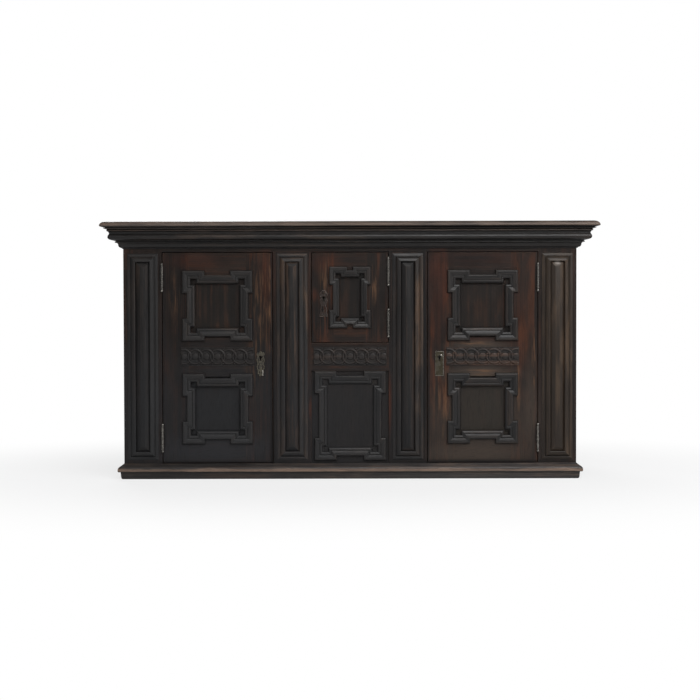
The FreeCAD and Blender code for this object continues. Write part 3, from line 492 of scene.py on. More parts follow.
# Pieces made of faces whose corners carry their place in the grain.
def shown(mesh, name, material, replaced=(), beside=None, slot=None):
    """Puts a finished mesh into the scene, on the body of a node it replaces or is on."""
    node = beside or replaced[0]
    mesh.materials.clear()
    mesh.materials.append(material)
    item = bpy.data.objects.new(name, mesh)
    bpy.context.scene.collection.objects.link(item)
    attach(item, BODY_OF[node])
    slot or SLOT_OF[node]
    if replaced:
        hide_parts(*replaced)


class Stock:
    """Faces of one piece. Each corner knows its grain, its place on the board, its wear and tone."""

    def __init__(self):
        self.points = []
        self.faces = []
        self.values = {"grain": [], "place": [], "half": [], "tone": [], "crest": []}
        self.known = {}
        self.mitres = set()

    def next_board(self):
        """Points of the boards before stay apart from those that follow."""
        self.known = {}

    def corner(self, point):
        key = tuple(round(value, 6) for value in point)
        if key not in self.known:
            self.known[key] = len(self.points)
            self.points.append(tuple(point))
        return self.known[key]

    def mitre(self, row):
        numbers = [self.corner(point) for point in row]
        self.mitres.update(frozenset(pair) for pair in zip(numbers, numbers[1:]))

    def face(self, corners, grains, tones, crests=None, boards=None, half=FAR):
        numbers = [self.corner(point) for point in corners]
        if len(set(numbers)) < 3:
            return
        self.faces.append(numbers)
        for index, grain in enumerate(grains):
            self.values["grain"] += grain
            self.values["place"] += boards[index] if boards else ZERO
            self.values["half"] += half
            self.values["tone"] += tones[index]
            self.values["crest"].append(crests[index] if crests else 0.0)

    def piece(self, name, material, replaced=(), beside=None, round_angle=None):
        mesh = bpy.data.meshes.new(name)
        mesh.from_pydata(self.points, [], self.faces)
        for label, numbers in self.values.items():
            sort, field = ("FLOAT", "value") if label == "crest" else ("FLOAT_VECTOR", "vector")
            mesh.attributes.new(label, sort, "CORNER").data.foreach_set(field, numbers)
        reworked(mesh, lambda shell: bmesh.ops.recalc_face_normals(shell, faces=shell.faces))
        if round_angle:
            mesh.shade_smooth()
            mesh.set_sharp_from_angle(angle=math.radians(round_angle))
            for edge in mesh.edges:
                if frozenset(edge.vertices) in self.mitres:
                    edge.use_edge_sharp = True
        shown(mesh, name, material, replaced, beside)


def reworked(mesh, work):
    shell = bmesh.new()
    shell.from_mesh(mesh)
    work(shell)
    shell.to_mesh(mesh)
    shell.free()


# Wood of the frame, to tell the arrises that meet a neighbour from the open ones.
def wood_tree(node):
    mesh = frame["nodes"][node].data
    points = [vertex.co.copy() for vertex in mesh.vertices]
    return BVHTree.FromPolygons(points, [tuple(polygon.vertices) for polygon in mesh.polygons])


WOOD = {name: (*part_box(name), wood_tree(name)) for name in frame["nodes"]}
BESIDE = 0.4 * MM
ARRIS_STEP = 9 * MM


def meets_wood(point, own):
    for name, (lowest, highest, tree) in WOOD.items():
        if name == own or any(point[k] < lowest[k] or point[k] > highest[k] for k in range(3)):
            continue
        nearest, normal, _, _ = tree.find_nearest(point)
        if (point - nearest).dot(normal) < 0:
            return True
    return False


def seated(point, first, second, own):
    beyond = (second.normal - first.normal) * BESIDE
    return meets_wood(point + beyond, own) or meets_wood(point - beyond, own)


def open_arrises(shell, own, least_face):
    """The long convex edges that meet no neighbour, split where a neighbour begins or ends."""
    found = []
    for edge in list(shell.edges):
        length = edge.calc_length()
        if len(edge.link_faces) != 2 or length < 3 * least_face or not edge.is_convex:
            continue
        first, second = edge.link_faces
        if first.normal.angle(second.normal) < 1.0:
            continue
        if any(face.calc_area() / length < least_face for face in (first, second)):
            continue
        start, end = (vertex.co.copy() for vertex in edge.verts)
        count = max(2, round(length / ARRIS_STEP))
        shares = [(number + 0.5) / count for number in range(count)]
        states = [seated(start.lerp(end, share), first, second, own) for share in shares]
        rest = edge
        origin = edge.verts[0]
        done = 0.0
        for number in range(1, count):
            if states[number] == states[number - 1]:
                continue
            share = number / count
            new_edge, vertex = bmesh.utils.edge_split(rest, origin, (share - done) / (1 - done))
            behind, ahead = (new_edge, rest) if origin in new_edge.verts else (rest, new_edge)
            if not states[number - 1]:
                found.append(behind)
            rest, origin, done = ahead, vertex, share
        if not states[-1]:
            found.append(rest)
    return found


def islands(shell):
    """The faces of each separate solid."""
    waiting = set(shell.faces)
    while waiting:
        front = [waiting.pop()]
        group = list(front)
        while front:
            for edge in front.pop().edges:
                for face in edge.link_faces:
                    if face in waiting:
                        waiting.remove(face)
                        front.append(face)
                        group.append(face)
        yield group


def chance(*words):
    return random.Random("-".join(str(word) for word in words))


def lay_board(stock, faces, label, tone, rounded=(), upright=False):
    """Adds a solid's faces to the stock as one board; rounded holds the points of open arrises.

    The grain runs along the board's longest side, or upright."""
    points = [vertex.co for face in faces for vertex in face.verts]
    lowest = Vector([min(point[k] for point in points) for k in range(3)])
    highest = Vector([max(point[k] for point in points) for k in range(3)])
    dice = chance(label, *(round(value, 3) for value in lowest))
    shift = [dice.uniform(-4, 4) for _ in range(3)]
    lightness = tone[0] + dice.uniform(-0.35, 0.35)
    sizes = highest - lowest
    centre = (lowest + highest) / 2
    depth, across, along = sorted(range(3), key=lambda k: (upright and k == 2, sizes[k]))
    order = (across, depth, along)
    half = [sizes[k] / 2 for k in order]
    stock.next_board()
    for face in faces:
        corners = [vertex.co.copy() for vertex in face.verts]
        tones = [[lightness, tone[1], float(vertex in rounded)] for vertex in face.verts]
        boards = [[point[k] - centre[k] for k in order] for point in corners]
        grains = [[part + moved for part, moved in zip(board, shift)] for board in boards]
        stock.face(corners, grains, tones, boards=boards, half=half)


def soften(shell, edges, arris):
    return bmesh.ops.bevel(shell, geom=edges, offset=arris * MM, segments=2, profile=0.5, affect="EDGES",
                           clamp_overlap=False)


def boards_of(name, nodes, material, tone=(0, 0), arris=1.4):
    """The boards of some nodes, their open arrises rounded over; a tone may depend on the place."""
    stock = Stock()
    for node in nodes:
        shell = bmesh.new()
        shell.from_mesh(frame["nodes"][node].data)
        bmesh.ops.remove_doubles(shell, verts=shell.verts, dist=0.02 * MM)
        bmesh.ops.dissolve_limit(shell, angle_limit=math.radians(1), verts=shell.verts, edges=shell.edges)
        shell.normal_update()
        rounded = set(soften(shell, open_arrises(shell, node, 4 * arris * MM), arris)["verts"])
        shell.normal_update()
        for faces in islands(shell):
            centre = sum((face.calc_center_median() for face in faces), Vector()) / len(faces)
            own_tone = tone(centre) if callable(tone) else tone
            lay_board(stock, faces, node, own_tone, rounded, upright="panel" in node)
        shell.free()
    stock.piece(name, material, nodes)


def plank_row(name, node, material, axis, cuts, tone, arris=1.2):
    """Planks side by side that fill a node's box."""
    stock = Stock()
    lowest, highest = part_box(node)
    width = (highest[axis] - lowest[axis]) / cuts
    for number in range(cuts):
        start = lowest.copy()
        end = highest.copy()
        start[axis] = lowest[axis] + width * number
        end[axis] = start[axis] + width
        shell = bmesh.new()
        bmesh.ops.create_cube(shell, size=1.0)
        for vertex in shell.verts:
            vertex.co = [start[k] if vertex.co[k] < 0 else end[k] for k in range(3)]
        soften(shell, list(shell.edges), arris)
        shell.normal_update()
        lay_board(stock, list(shell.faces), f"{name}{number}", tone, set(shell.verts))
        shell.free()
    stock.piece(name, material, [node])


# Mouldings: an outline swept from station to station and mitred at each.
def bend(start, control, end, steps):
    """Points of a smooth bend after its start, each (across, rise, crest)."""
    points = []
    for number in range(1, steps + 1):
        share = number / steps
        ends = ((1 - share) ** 2, 2 * share * (1 - share), share ** 2)
        points.append(tuple(sum(part * corner[k] for part, corner in zip(ends, (start, control, end)))
                            for k in range(3)))
    return points


def section(*parts):
    """A section: corners of (across, rise, crest), and lists of a bend's control, end and steps."""
    points = []
    for part in parts:
        points += bend(points[-1], *part) if isinstance(part, list) else [part]
    return [(across * MM, rise * MM, crest) for across, rise, crest in points]


def sweep(stock, outline, stations, label, tone, closed=False, ring_open=False, run_tones=None):
    """Runs a closed outline through the stations: each (origin, across vector, rise vector)."""
    lengths = [0.0]
    for before, after in zip(outline, outline[1:]):
        lengths.append(lengths[-1] + math.hypot(after[0] - before[0], after[1] - before[1]))
    dice = chance(label)
    stock.next_board()
    rows = [[origin + across * a + rise * b for a, b, _ in outline] for origin, across, rise in stations]
    for row in rows:
        stock.mitre(row)
    for index in range(len(rows) if closed else len(rows) - 1):
        row = rows[index]
        following = rows[(index + 1) % len(rows)]
        shift = [dice.uniform(-4, 4) for _ in range(3)]
        lightness, warmth = (run_tones or {}).get(index, tone)
        run_tone = [lightness + dice.uniform(-0.25, 0.25), warmth + dice.uniform(-0.1, 0.2), 0.0]
        direction = (following[0] - row[0]).normalized()
        for number in range(len(outline) - ring_open):
            after = (number + 1) % len(outline)
            numbers = [number, number, after, after]
            corners = [row[number], following[number], following[after], row[after]]
            grains = [[lengths[at] + shift[0], shift[1], point.dot(direction) + shift[2]]
                      for point, at in zip(corners, numbers)]
            stock.face(corners, grains, [run_tone] * 4, [outline[at][2] for at in numbers])
    if not closed:
        for row in (rows[0], rows[-1]):
            stock.face(row, [list(point) for point in row], [[*tone, 0.0]] * len(row))


def eared_outline(half_width, half_height, ear, ear_length):
    """Corners of an outline that steps outwards at every corner, anticlockwise from the front."""
    right = [
        (half_width - ear_length, -half_height + ear),
        (half_width - ear_length, -half_height),
        (half_width, -half_height),
        (half_width, -half_height + ear_length),
        (half_width - ear, -half_height + ear_length),
    ]
    right += [(across, -up) for across, up in reversed(right)]
    return right + [(-across, -up) for across, up in right]


def square_outline(half_width, half_height):
    return [(half_width, -half_height), (half_width, half_height),
            (-half_width, half_height), (-half_width, -half_height)]


def mitred(outline, centre, face):
    """Stations at the corners of an outline that lies in a front face."""
    stations = []
    for index, corner in enumerate(outline):
        here = Vector(corner)
        coming = (here - Vector(outline[index - 1])).normalized()
        going = (Vector(outline[(index + 1) % len(outline)]) - here).normalized()
        inward = Vector((-(coming.y + going.y), 0, coming.x + going.x))
        stations.append((Vector((centre.x + here.x, face, centre.z + here.y)), inward, OUTWARD))
    return stations


# A crest above zero rubs the wood bare; below zero it darkens with dirt and painted shade in grooves, quirks, feet
# and under overhangs.
EARED_SECTION = section(
    (0, 0, 0.1), (0, 3.8, 0.3), [(0.5, 8.6, 0.5), (2.4, 10.2, 0.6), 3],
    [(3.8, 11.6, 0.9), (6.2, 11.4, 0.7), 2],
    [(13.4, 11.0, 0.1), (21.2, 8.2, -0.2), 4], (21.8, 6.8, -0.6), (23.4, 6.7, -0.6), (24.0, 8.2, -0.2),
    (25.0, 8.7, 0.2), [(31.4, 8.4, 0.6), (33.4, 4.8, 0.4), 4], (35, 2.2, 0.2), (35, 0, 0.0),
)
PILASTER_SECTION = section(
    (0, 0, 0.0), (0, 1.6, 0.0), [(4.0, 3.6, 0.0), (9.6, 4.4, 0.2), 3], (10.4, 4.0, 0.0), (10.8, 3.2, -0.5),
    (12.8, 3.4, -0.5), [(17.0, 9.6, 0.0), (26.0, 12.4, 0.3), 5], (30.4, 13, 0.4),
    [(33.2, 12.4, 0.1), (33.8, 8.0, -0.2), 3], (34, 0, -0.5),
)
FIELD_SECTION = section((0, 0, -0.8), (0.4, 4.2, -0.8), (1.6, 5.0, -0.2), (9.5, 8.4, 0.0), (17.4, 11.6, 0.1),
                        (18.6, 12, 0.5))
BED_SECTION = section(
    (0, 0, -1.0), (4.4, 0.2, -1.0), (5, 2.6, -0.8), [(14.6, 3.4, 0.4), (16.4, 12.6, 0.1), 5],
    (16.6, 16.0, -0.6), [(17.8, 21.6, -0.3), (24.4, 22.4, 0.1), 4], (27.2, 22.8, 0.0), (27.9, 24.0, 0.1),
    [(27.9, 27.8, 0.2), (24, 28, 0.0), 3], (0, 28, 0),
)
CROWN_SECTION = section(
    (0, 0, -0.9), (25, 0, -0.9), (25.6, 3.4, -0.9), (35, 4.2, -0.4), [(50.5, 4.6, 0.1), (52.4, 14.0, 0.3), 5],
    [(52.8, 21.0, 0.0), (48.0, 26.6, -0.6), 4], (47.0, 29.2, -0.9),
    [(47.6, 36.4, -0.6), (52.8, 38.2, -0.2), 3],
    (54.8, 38.6, 0.7), (56, 39.6, 1.0), (54.6, 44.2, 1.0), (53.6, 46.0, 0.2),
    (52.6, 47.5, -0.6), (0, 47.5, 0),
)
NOSING_SECTION = section(
    (-40, 0, 0), (56, 0, -0.6), (57, 0.8, -0.3), (65.6, 1.0, 0.0), (66.6, 1.8, 0.1), (66.8, 3.2, -0.3),
    (59.6, 3.6, -1.0), (59.6, 7.8, -1.0), (75.0, 8.2, -0.6), [(79.8, 8.6, 0.5), (80, 12.0, 0.9), 3],
    [(79.2, 20.6, 1.0), (70.5, 25.6, 0.7), 5], [(64.5, 28.6, 0.5), (58, 29, 0.3), 3], (-40, 29, 0.1),
)
PLINTH_SECTION = section(
    (0, 0, 0), (5.4, 0, 0.2), [(10.2, 0.8, 0.3), (11.2, 9.0, 0.2), 3], (12.8, 26.6, 0.0), (13.2, 28.4, -0.7),
    (18.6, 29.0, -0.2), [(22.6, 29.6, 0.7), (23.2, 34.0, 1.0), 4], (23.2, 38.6, 0.9),
    [(23.0, 45.4, 0.5), (18.4, 48.8, 0.3), 4], [(9.0, 54.2, 0.1), (2.4, 60.6, 0.0), 3], (0, 62, -0.5),
)
FILLET_SECTION = section((0, 0, -0.2), (0, 1.2, 0.0), (1.0, 2.0, 0.1), (3.4, 2.0, 0.1), (4.4, 1.2, -0.2),
                         (4.4, 0, 0))

# The bed and the crown sit a little lower than their nodes, as the photograph shows them.
BED_DROP = 5.5 * MM
CROWN_DROP = 9.5 * MM
for name, node, outline, foot, finish, tone in (
    ("plinth_moulding", "plinth", PLINTH_SECTION, 0, plinth_oak, (0.1, 0.4)),
    ("bed_moulding", "cornice_bed", BED_SECTION, low("cornice_bed").z - BED_DROP, cornice_oak, (0.1, 0.5)),
    ("crown_moulding", "cornice_crown", CROWN_SECTION, low("cornice_crown").z - CROWN_DROP, cornice_oak,
     (0.2, 0.6)),
    ("top_nosing", "cornice_nosing", NOSING_SECTION, CASE_TOP, nosing_oak, (0.1, 0.4)),
):
    stock = Stock()
    corners = []
    for side in SIDES.values():
        sideways = Vector((side, 0, 0))
        corners.append((Vector((side * CASE_EDGE, CASE_FRONT, foot)), sideways + OUTWARD, UP))
        rear = (Vector((side * CASE_EDGE, CASE_BACK, foot)), sideways, UP)
        sweep(stock, outline, [corners[-1], rear], name + str(side), tone)
    sweep(stock, outline, corners, name + "front", tone)
    stock.piece(name, finish, [node], round_angle=32)


# Eared frames. The run numbers are those of the four long members in eared_outline.
RIGHT_RUN = 4
TOP_RUN = 9
LEFT_RUN = 14
BOTTOM_RUN = 19
SIDE_BAND = 35 * MM
SIDE_EAR = 18 * MM
SMALL_BAND_SHARE = 0.168
SMALL_EAR_SHARE = 0.084
UPPER_FRAME_FOOT = 0.55
FRAME_RUN_TONES = {
    "leftupper": {TOP_RUN: (0.2, 0.3), BOTTOM_RUN: (0.4, 0.3), LEFT_RUN: (0.3, 0.1)},
    "leftlower": {TOP_RUN: (0.4, 0.3), BOTTOM_RUN: (0.2, 0.1), RIGHT_RUN: (0.1, 0.3)},
    "rightupper": {TOP_RUN: (0.6, 0.9), BOTTOM_RUN: (0.4, 0.4), LEFT_RUN: (0.3, 0.5)},
    "rightlower": {TOP_RUN: (0.5, 0.7), BOTTOM_RUN: (0.4, 0.3), RIGHT_RUN: (0.2, 0.5)},
}


def eared_frame(stock, centre, half, band, ear, face, label, tone=(0, 0)):
    outline = eared_outline(half.x, half.z, ear, ear + 2 * band + 3 * MM)
    narrowed = [(across * band / SIDE_BAND, rise, crest) for across, rise, crest in EARED_SECTION]
    sweep(stock, narrowed, mitred(outline, centre, face), label, tone, closed=True,
          run_tones=FRAME_RUN_TONES.get(label))


for side_name in SIDES:
    node = side_name + "_door_mouldings"
    stock = Stock()
    half = half_size(node)
    half.z = (high(node).z - UPPER_FRAME_FOOT) / 2
    for level, height in (("upper", high(node).z - half.z), ("lower", low(node).z + half.z)):
        centre = Vector((middle(node).x, 0, height))
        eared_frame(stock, centre, half, SIDE_BAND, SIDE_EAR, CASE_FRONT, side_name + level)
    stock.piece(side_name + "_door_eared_frames", moulding_oak, [node], round_angle=32)

small_width = 2 * half_size("centre_door_moulding").x
for node, name, band, ear, tone in (
    ("centre_door_moulding", "centre_door_eared_frame", small_width * SMALL_BAND_SHARE,
     small_width * SMALL_EAR_SHARE, (0.2, 0)),
    ("centre_fixed_moulding", "centre_fixed_eared_frame", SIDE_BAND, SIDE_EAR, (0.1, 0)),
):
    stock = Stock()
    eared_frame(stock, middle(node), half_size(node), band, ear, high(node).y, name, tone)
    stock.piece(name, moulding_oak, [node], round_angle=32)

# Pilasters: a moulding round a raised field with a sloping border.
FIELD_GRAIN_START = 1.0
for place, tone, edging, field in (
    ("left_outer", (-0.2, 0.1), moulding_oak, field_oak),
    ("left_inner", (0.2, 0.6), moulding_oak, field_oak),
    ("right_inner", (0.0, 0.2), moulding_oak, field_oak),
    ("right_outer", (0.3, 0.7), sunned_oak, sunned_oak),
):
    frame_node = place + "_pilaster_frame"
    field_node = place + "_pilaster_panel"
    centre = middle(frame_node)
    half = half_size(frame_node)
    # Every pilaster but the leftmost has its right member lighter and warmer: painted light from the right.
    lit_right_member = {0: (tone[0] + 0.5, tone[1] + 0.6)} if place != "left_outer" else {}
    stock = Stock()
    sweep(stock, PILASTER_SECTION, mitred(square_outline(half.x, half.z), centre, CASE_FRONT), place, tone,
          closed=True, run_tones=lit_right_member)
    stock.piece(place + "_pilaster_moulding", edging, [frame_node], round_angle=32)
    half = half_size(field_node)
    stock = Stock()
    stations = mitred(square_outline(half.x, half.z), centre, CASE_FRONT)
    sweep(stock, FIELD_SECTION, stations, place + "field", tone, closed=True, ring_open=True)
    for across, rise, crest in (FIELD_SECTION[0], FIELD_SECTION[-1]):
        ring = [origin + inward * across + out * rise for origin, inward, out in stations]
        grains = [[point.x + FIELD_GRAIN_START, 0.0, point.z + FIELD_GRAIN_START] for point in ring]
        stock.face(ring, grains, [[*tone, 0.0]] * 4, [crest] * 4)
    stock.piece(place + "_pilaster_field", field, [field_node], round_angle=20)

# Boards of the case and the doors.
boards_of("front_posts", ["left_outer_post", "left_inner_post", "right_inner_post", "right_outer_post"],
          frame_oak, (0, 0.2))
for name, node, finish, tone in (
    ("frieze", "frieze_rail", frame_oak, (-0.1, 0.15)),
    ("foot_rail", "bottom_rail", frame_oak, (0, 0)),
    ("centre_rail", "centre_carved_rail", frame_oak, (0.2, 0.3)),
    ("centre_lower_panel", "centre_fixed_panel", panel_oak, (0.5, 0)),
    ("end_frames", "side_rails", frame_oak, (0, 0.3)),
    ("end_panels", "side_panels", panel_oak, (0.3, 0.3)),
    ("rear_corner_posts", "rear_posts", frame_oak, (0, 0.2)),
    ("rear_cross_rails", "rear_rails", inside_oak, (0, 0.2)),
    ("shelf_bearers", "bearers", inside_oak, (0, 0.2)),
    ("bay_partitions", "partitions", inside_oak, (0, 0.2)),
):
    boards_of(name, [node], finish, tone)
BACK_PLANKS = 8
plank_row("top_planks", "top_boards", top_oak, 1, 3, (0, 0.3))
plank_row("floor_planks", "floor_boards", inside_oak, 1, 3, (-0.2, 0.3))
plank_row("shelf_planks", "middle_shelf", inside_oak, 1, 3, (0, 0.3))
plank_row("back_planks", "back_boards", back_oak, 0, BACK_PLANKS, (0, 0.2), arris=2.4)


def tone_between(stretches, plain):
    """A tone that depends on x: stretches hold (start, end, tone)."""
    def tone_at(centre):
        return next((tone for start, end, tone in stretches if start <= centre.x <= end), plain)
    return tone_at


DOOR_TONES = {
    "left": [(-0.9, -0.6, (-0.3, 0.3)), (-0.45, -0.2, (0.1, 0.9))],
    "centre": [(-0.2, -0.05, (0.2, 1.0)), (0.05, 0.2, (0.1, 0.7))],
    "right": [(0.2, 0.5, (-0.2, 1.1)), (0.6, 0.9, (0.0, 0.7))],
}
PANEL_TONES = {
    "left": ((-0.9, 0.9), (-0.2, 0.2)),
    "centre": ((-1.0, 1.0), (0, 0)),
    "right": ((-0.6, 0.7), (0.2, 0.4)),
}
UPPER_PANEL_FOOT = 0.5
for side_name, door in DOORS.items():
    board_tone = tone_between(DOOR_TONES[side_name], (0.1, 0.3))
    boards_of(door + "_upright_boards", [door + "_stiles"], frame_oak, board_tone)
    boards_of(door + "_cross_boards", [door + "_rails"], frame_oak, board_tone)
    upper, lower = PANEL_TONES[side_name]
    panels = door + ("_panel" if side_name == "centre" else "_panels")
    boards_of(door + "_fields", [panels], panel_oak,
              lambda centre: upper if centre.z > UPPER_PANEL_FOOT else lower)
    if side_name != "centre":
        boards_of(door + "_middle_rail", [door + "_carved_rail"], frame_oak, (0.2, 0.2))


# Shapes that a geometry tree makes from its named inputs.
def shape_tree(name, inputs):
    w = Wiring(bpy.data.node_groups.new(name, "GeometryNodeTree"))
    for sort, labels in inputs.items():
        w.sockets("INPUT", sort, labels)
    w.sockets("OUTPUT", "Geometry", ["Geometry"])
    return w, w.node("NodeGroupInput").outputs


def close_tree(w, shape, material):
    """Ends a tree with real instances in their material."""
    real = w.first("GeometryNodeRealizeInstances", {"Geometry": shape})
    finished = w.first("GeometryNodeSetMaterial", {"Geometry": real, "Material": material})
    w.node("NodeGroupOutput", {"Geometry": finished})
    return w.tree


def plain_mesh(item):
    """The mesh of an object with its modifiers applied; the object goes."""
    bpy.context.scene.collection.objects.link(item)
    mesh = bpy.data.meshes.new_from_object(item.evaluated_get(bpy.context.evaluated_depsgraph_get()))
    bpy.data.objects.remove(item)
    return mesh


def grown(name, tree, values, marks=()):
    """The plain mesh that a geometry tree makes from its named inputs and the marked points."""
    carrier = bpy.data.meshes.new(name)
    carrier.from_pydata([tuple(point) for point in marks], [], [])
    item = bpy.data.objects.new(name, carrier)
    modifier = item.modifiers.new(name, "NODES")
    modifier.node_group = tree
    for socket in tree.interface.items_tree:
        if socket.in_out == "INPUT" and socket.name in values:
            modifier[socket.identifier] = values[socket.name]
    return plain_mesh(item)


# Guilloche: interlaced rings with an eye in each, laid along a band.
STRAP_SLOPE = 0.56
BAND_HALF_LENGTH = 145.6 * MM
BAND_HALF_HEIGHT = 37 * MM
BAND_HEIGHT = 488 * MM
GROUND = 1.2 * MM
GROUND_EDGE = 4.0 * MM
CARVING_DEPTH = 4.6 * MM
GUILLOCHE_SIZES = {"Rings": 7, "Pitch": 44.8 * MM, "Ring Radius": 29.6 * MM, "Strap Width": 5.0 * MM,
                   "Strap Height": 2.6 * MM, "Lift": 0.9 * MM, "Eye Radius": 14.0 * MM}


def guilloche_tree():
    w, given = shape_tree("guilloche_band", {
        "Int": ["Rings"], "Float": [name for name in GUILLOCHE_SIZES if name != "Rings"],
        "Vector": ["Foot"], "Material": ["Carving"],
    })

    def moved(shape, **placing):
        return w.first("GeometryNodeTransform", {"Geometry": shape, **placing})

    def circle(radius, points):
        return w.first("GeometryNodeCurvePrimitiveCircle", {"Resolution": points, "Radius": radius},
                       mode="RADIUS")

    def dome(radius, sides, stretch, place):
        ball = w.first("GeometryNodeMeshUVSphere", {"Segments": sides, "Rings": 6, "Radius": radius})
        return moved(ball, Scale=stretch, Translation=place)

    x, y, z = w.parts(w.first("GeometryNodeInputPosition"))
    rise = w.times(w.calc("SINE", w.times(w.calc("ARCTAN2", y, x), 2.0)), given["Lift"])
    line = w.first("GeometryNodeSetPosition", {"Geometry": circle(given["Ring Radius"], 44),
                                               "Offset": w.joined(0.0, 0.0, rise)})
    line = w.first("GeometryNodeSetCurveNormal", {"Curve": line}, mode="Z_UP")
    strap = moved(circle(1.0, 10), Scale=w.joined(given["Strap Width"], given["Strap Height"], 1.0))
    strap = moved(strap, Rotation=Euler((0, 0, STRAP_SLOPE)))
    half_pitch = w.times(given["Pitch"], 0.5)
    dart = w.times(given["Ring Radius"], 0.98)
    dart_size = w.times(given["Eye Radius"], 0.33)
    shapes = [
        w.first("GeometryNodeCurveToMesh", {"Curve": line, "Profile Curve": strap}),
        dome(given["Eye Radius"], 18, (1.0, 1.0, 0.14), (0.0, 0.0, 0.0)),
        dome(dart_size, 8, (1.0, 0.8, 0.6), w.joined(half_pitch, dart, 0.0)),
        dome(dart_size, 8, (1.0, 0.8, 0.6), w.joined(half_pitch, w.times(dart, -1.0), 0.0)),
    ]
    whole = w.node("GeometryNodeJoinGeometry")
    for shape in shapes:
        w.feed(whole.inputs[0], shape)
    span = w.times(w.calc("SUBTRACT", given["Rings"], 1.0), half_pitch)
    marks = w.first("GeometryNodeMeshLine", {
        "Count": given["Rings"], "Start Location": w.joined(w.times(span, -1.0), 0.0, 0.0),
        "Offset": w.joined(given["Pitch"], 0.0, 0.0)}, mode="OFFSET")
    row = w.first("GeometryNodeInstanceOnPoints", {"Points": marks, "Instance": whole.outputs[0]})
    upright = moved(row, Translation=given["Foot"], Rotation=Euler((math.pi / 2, 0, 0)))
    return close_tree(w, upright, given["Carving"])


SUNK_SHARE = 0.22
RUBBED_SHARE = 0.7


def mark_carving(mesh, tone):
    """Grain along the band, bare wood on the highest parts, and dirt with painted shade on the ground."""
    values = {"grain": [], "tone": [], "half": []}
    crests = []
    for loop in mesh.loops:
        point = mesh.vertices[loop.vertex_index].co
        raised = (CASE_FRONT - GROUND - point.y) / CARVING_DEPTH
        sunk = max(0.0, 1.0 - raised / SUNK_SHARE)
        rubbed = max(0.0, (raised - RUBBED_SHARE) / (1.0 - RUBBED_SHARE))
        crests.append(max(-1.0, min(1.0, 0.5 * rubbed - 0.4 * sunk)))
        values["grain"] += [point.z, point.y, point.x]
        values["tone"] += tone
        values["half"] += FAR
    for label, numbers in values.items():
        mesh.attributes.new(label, "FLOAT_VECTOR", "CORNER").data.foreach_set("vector", numbers)
    mesh.attributes.new("crest", "FLOAT", "CORNER").data.foreach_set("value", crests)


def cut_ends(shell, centre):
    """Cuts the outer rings off at both ends of the band and closes the cuts."""
    for side in SIDES.values():
        edge = Vector((centre + side * (BAND_HALF_LENGTH - 2 * MM), 0, 0))
        cut = bmesh.ops.bisect_plane(shell, geom=[*shell.verts, *shell.edges, *shell.faces], plane_co=edge,
                                     plane_no=(side, 0, 0), clear_outer=True, dist=1e-7)
        rim = [part for part in cut["geom_cut"] if isinstance(part, bmesh.types.BMEdge)]
        bmesh.ops.holes_fill(shell, edges=rim, sides=0)
    bmesh.ops.recalc_face_normals(shell, faces=shell.faces)


GUILLOCHE = guilloche_tree()
for bay, rail, centre, tone in (
    ("left", "left_door_carved_rail", -DOOR_MIDDLE, (-0.4, 0.0)),
    ("centre", "centre_carved_rail", 0.0, (-0.2, 0.2)),
    ("right", "right_door_carved_rail", DOOR_MIDDLE, (0.5, 0.9)),
):
    foot = (centre, CASE_FRONT - 2 * GROUND, BAND_HEIGHT)
    mesh = grown(bay + "_guilloche", GUILLOCHE, {**GUILLOCHE_SIZES, "Foot": foot, "Carving": carved_oak})
    reworked(mesh, lambda shell: cut_ends(shell, centre))
    full_tone = [*tone, 0.0]
    mark_carving(mesh, full_tone)
    mesh.shade_smooth()
    shown(mesh, bay + "_guilloche", carved_oak, beside=rail)
    stock = Stock()
    stations = mitred(square_outline(BAND_HALF_LENGTH, BAND_HALF_HEIGHT), Vector((centre, 0, BAND_HEIGHT)),
                      CASE_FRONT)
    sweep(stock, FILLET_SECTION, stations, bay + "fillet", tone, closed=True)
    stock.next_board()
    # The ground and its walls carry a crest below zero: dirt and painted shade round the carving.
    rings = [[origin + inward * GROUND_EDGE + OUTWARD * depth for origin, inward, out in stations]
             for depth in (0.0, GROUND)]
    for ring in rings:
        grains = [[point.z, point.y, point.x] for point in ring]
        stock.face(ring, grains, [full_tone] * 4, [-0.5] * 4)
    under, ground = rings
    for index in range(4):
        after = (index + 1) % 4
        wall = [under[index], under[after], ground[after], ground[index]]
        stock.face(wall, [ZERO] * 4, [full_tone] * 4, [-0.4] * 4)
    stock.piece(bay + "_carving_ground", carved_oak, beside=rail)


# Lock plates: three outlines, each with its keyhole and a raised rim.
def keyhole_outline(rise, radius=4.2, slot=1.9, drop=11.6, sides=18):
    """The round of a keyhole and its slot below."""
    opening = math.asin(slot / radius)
    arc = math.tau - 2 * opening
    angles = [-math.pi / 2 + opening + arc * number / sides for number in range(sides + 1)]
    points = [(radius * math.cos(angle), rise + radius * math.sin(angle)) for angle in angles]
    return points + [(-slot, rise - drop), (slot, rise - drop)]


def flat_plate(name, outlines, depth, rounding=0.5):
    """A plate cut to outlines in millimetres, the first outside and the rest holes."""
    line = bpy.data.curves.new(name, "CURVE")
    line.dimensions = "2D"
    line.fill_mode = "BOTH"
    line.extrude = (depth / 2 - rounding) * MM
    line.bevel_depth = rounding * MM
    line.bevel_resolution = 1
    line.offset = -rounding * MM
    for points in outlines:
        spline = line.splines.new("POLY")
        spline.points.add(len(points) - 1)
        for item, (across, up) in zip(spline.points, points):
            item.co = (across * MM, up * MM, 0, 1)
        spline.use_cyclic_u = True
    mesh = plain_mesh(bpy.data.objects.new(name, line))
    reworked(mesh, lambda shell: bmesh.ops.remove_doubles(shell, verts=shell.verts, dist=1e-6))
    return mesh


def flipped(points):
    return [(-across, up) for across, up in reversed(points)]


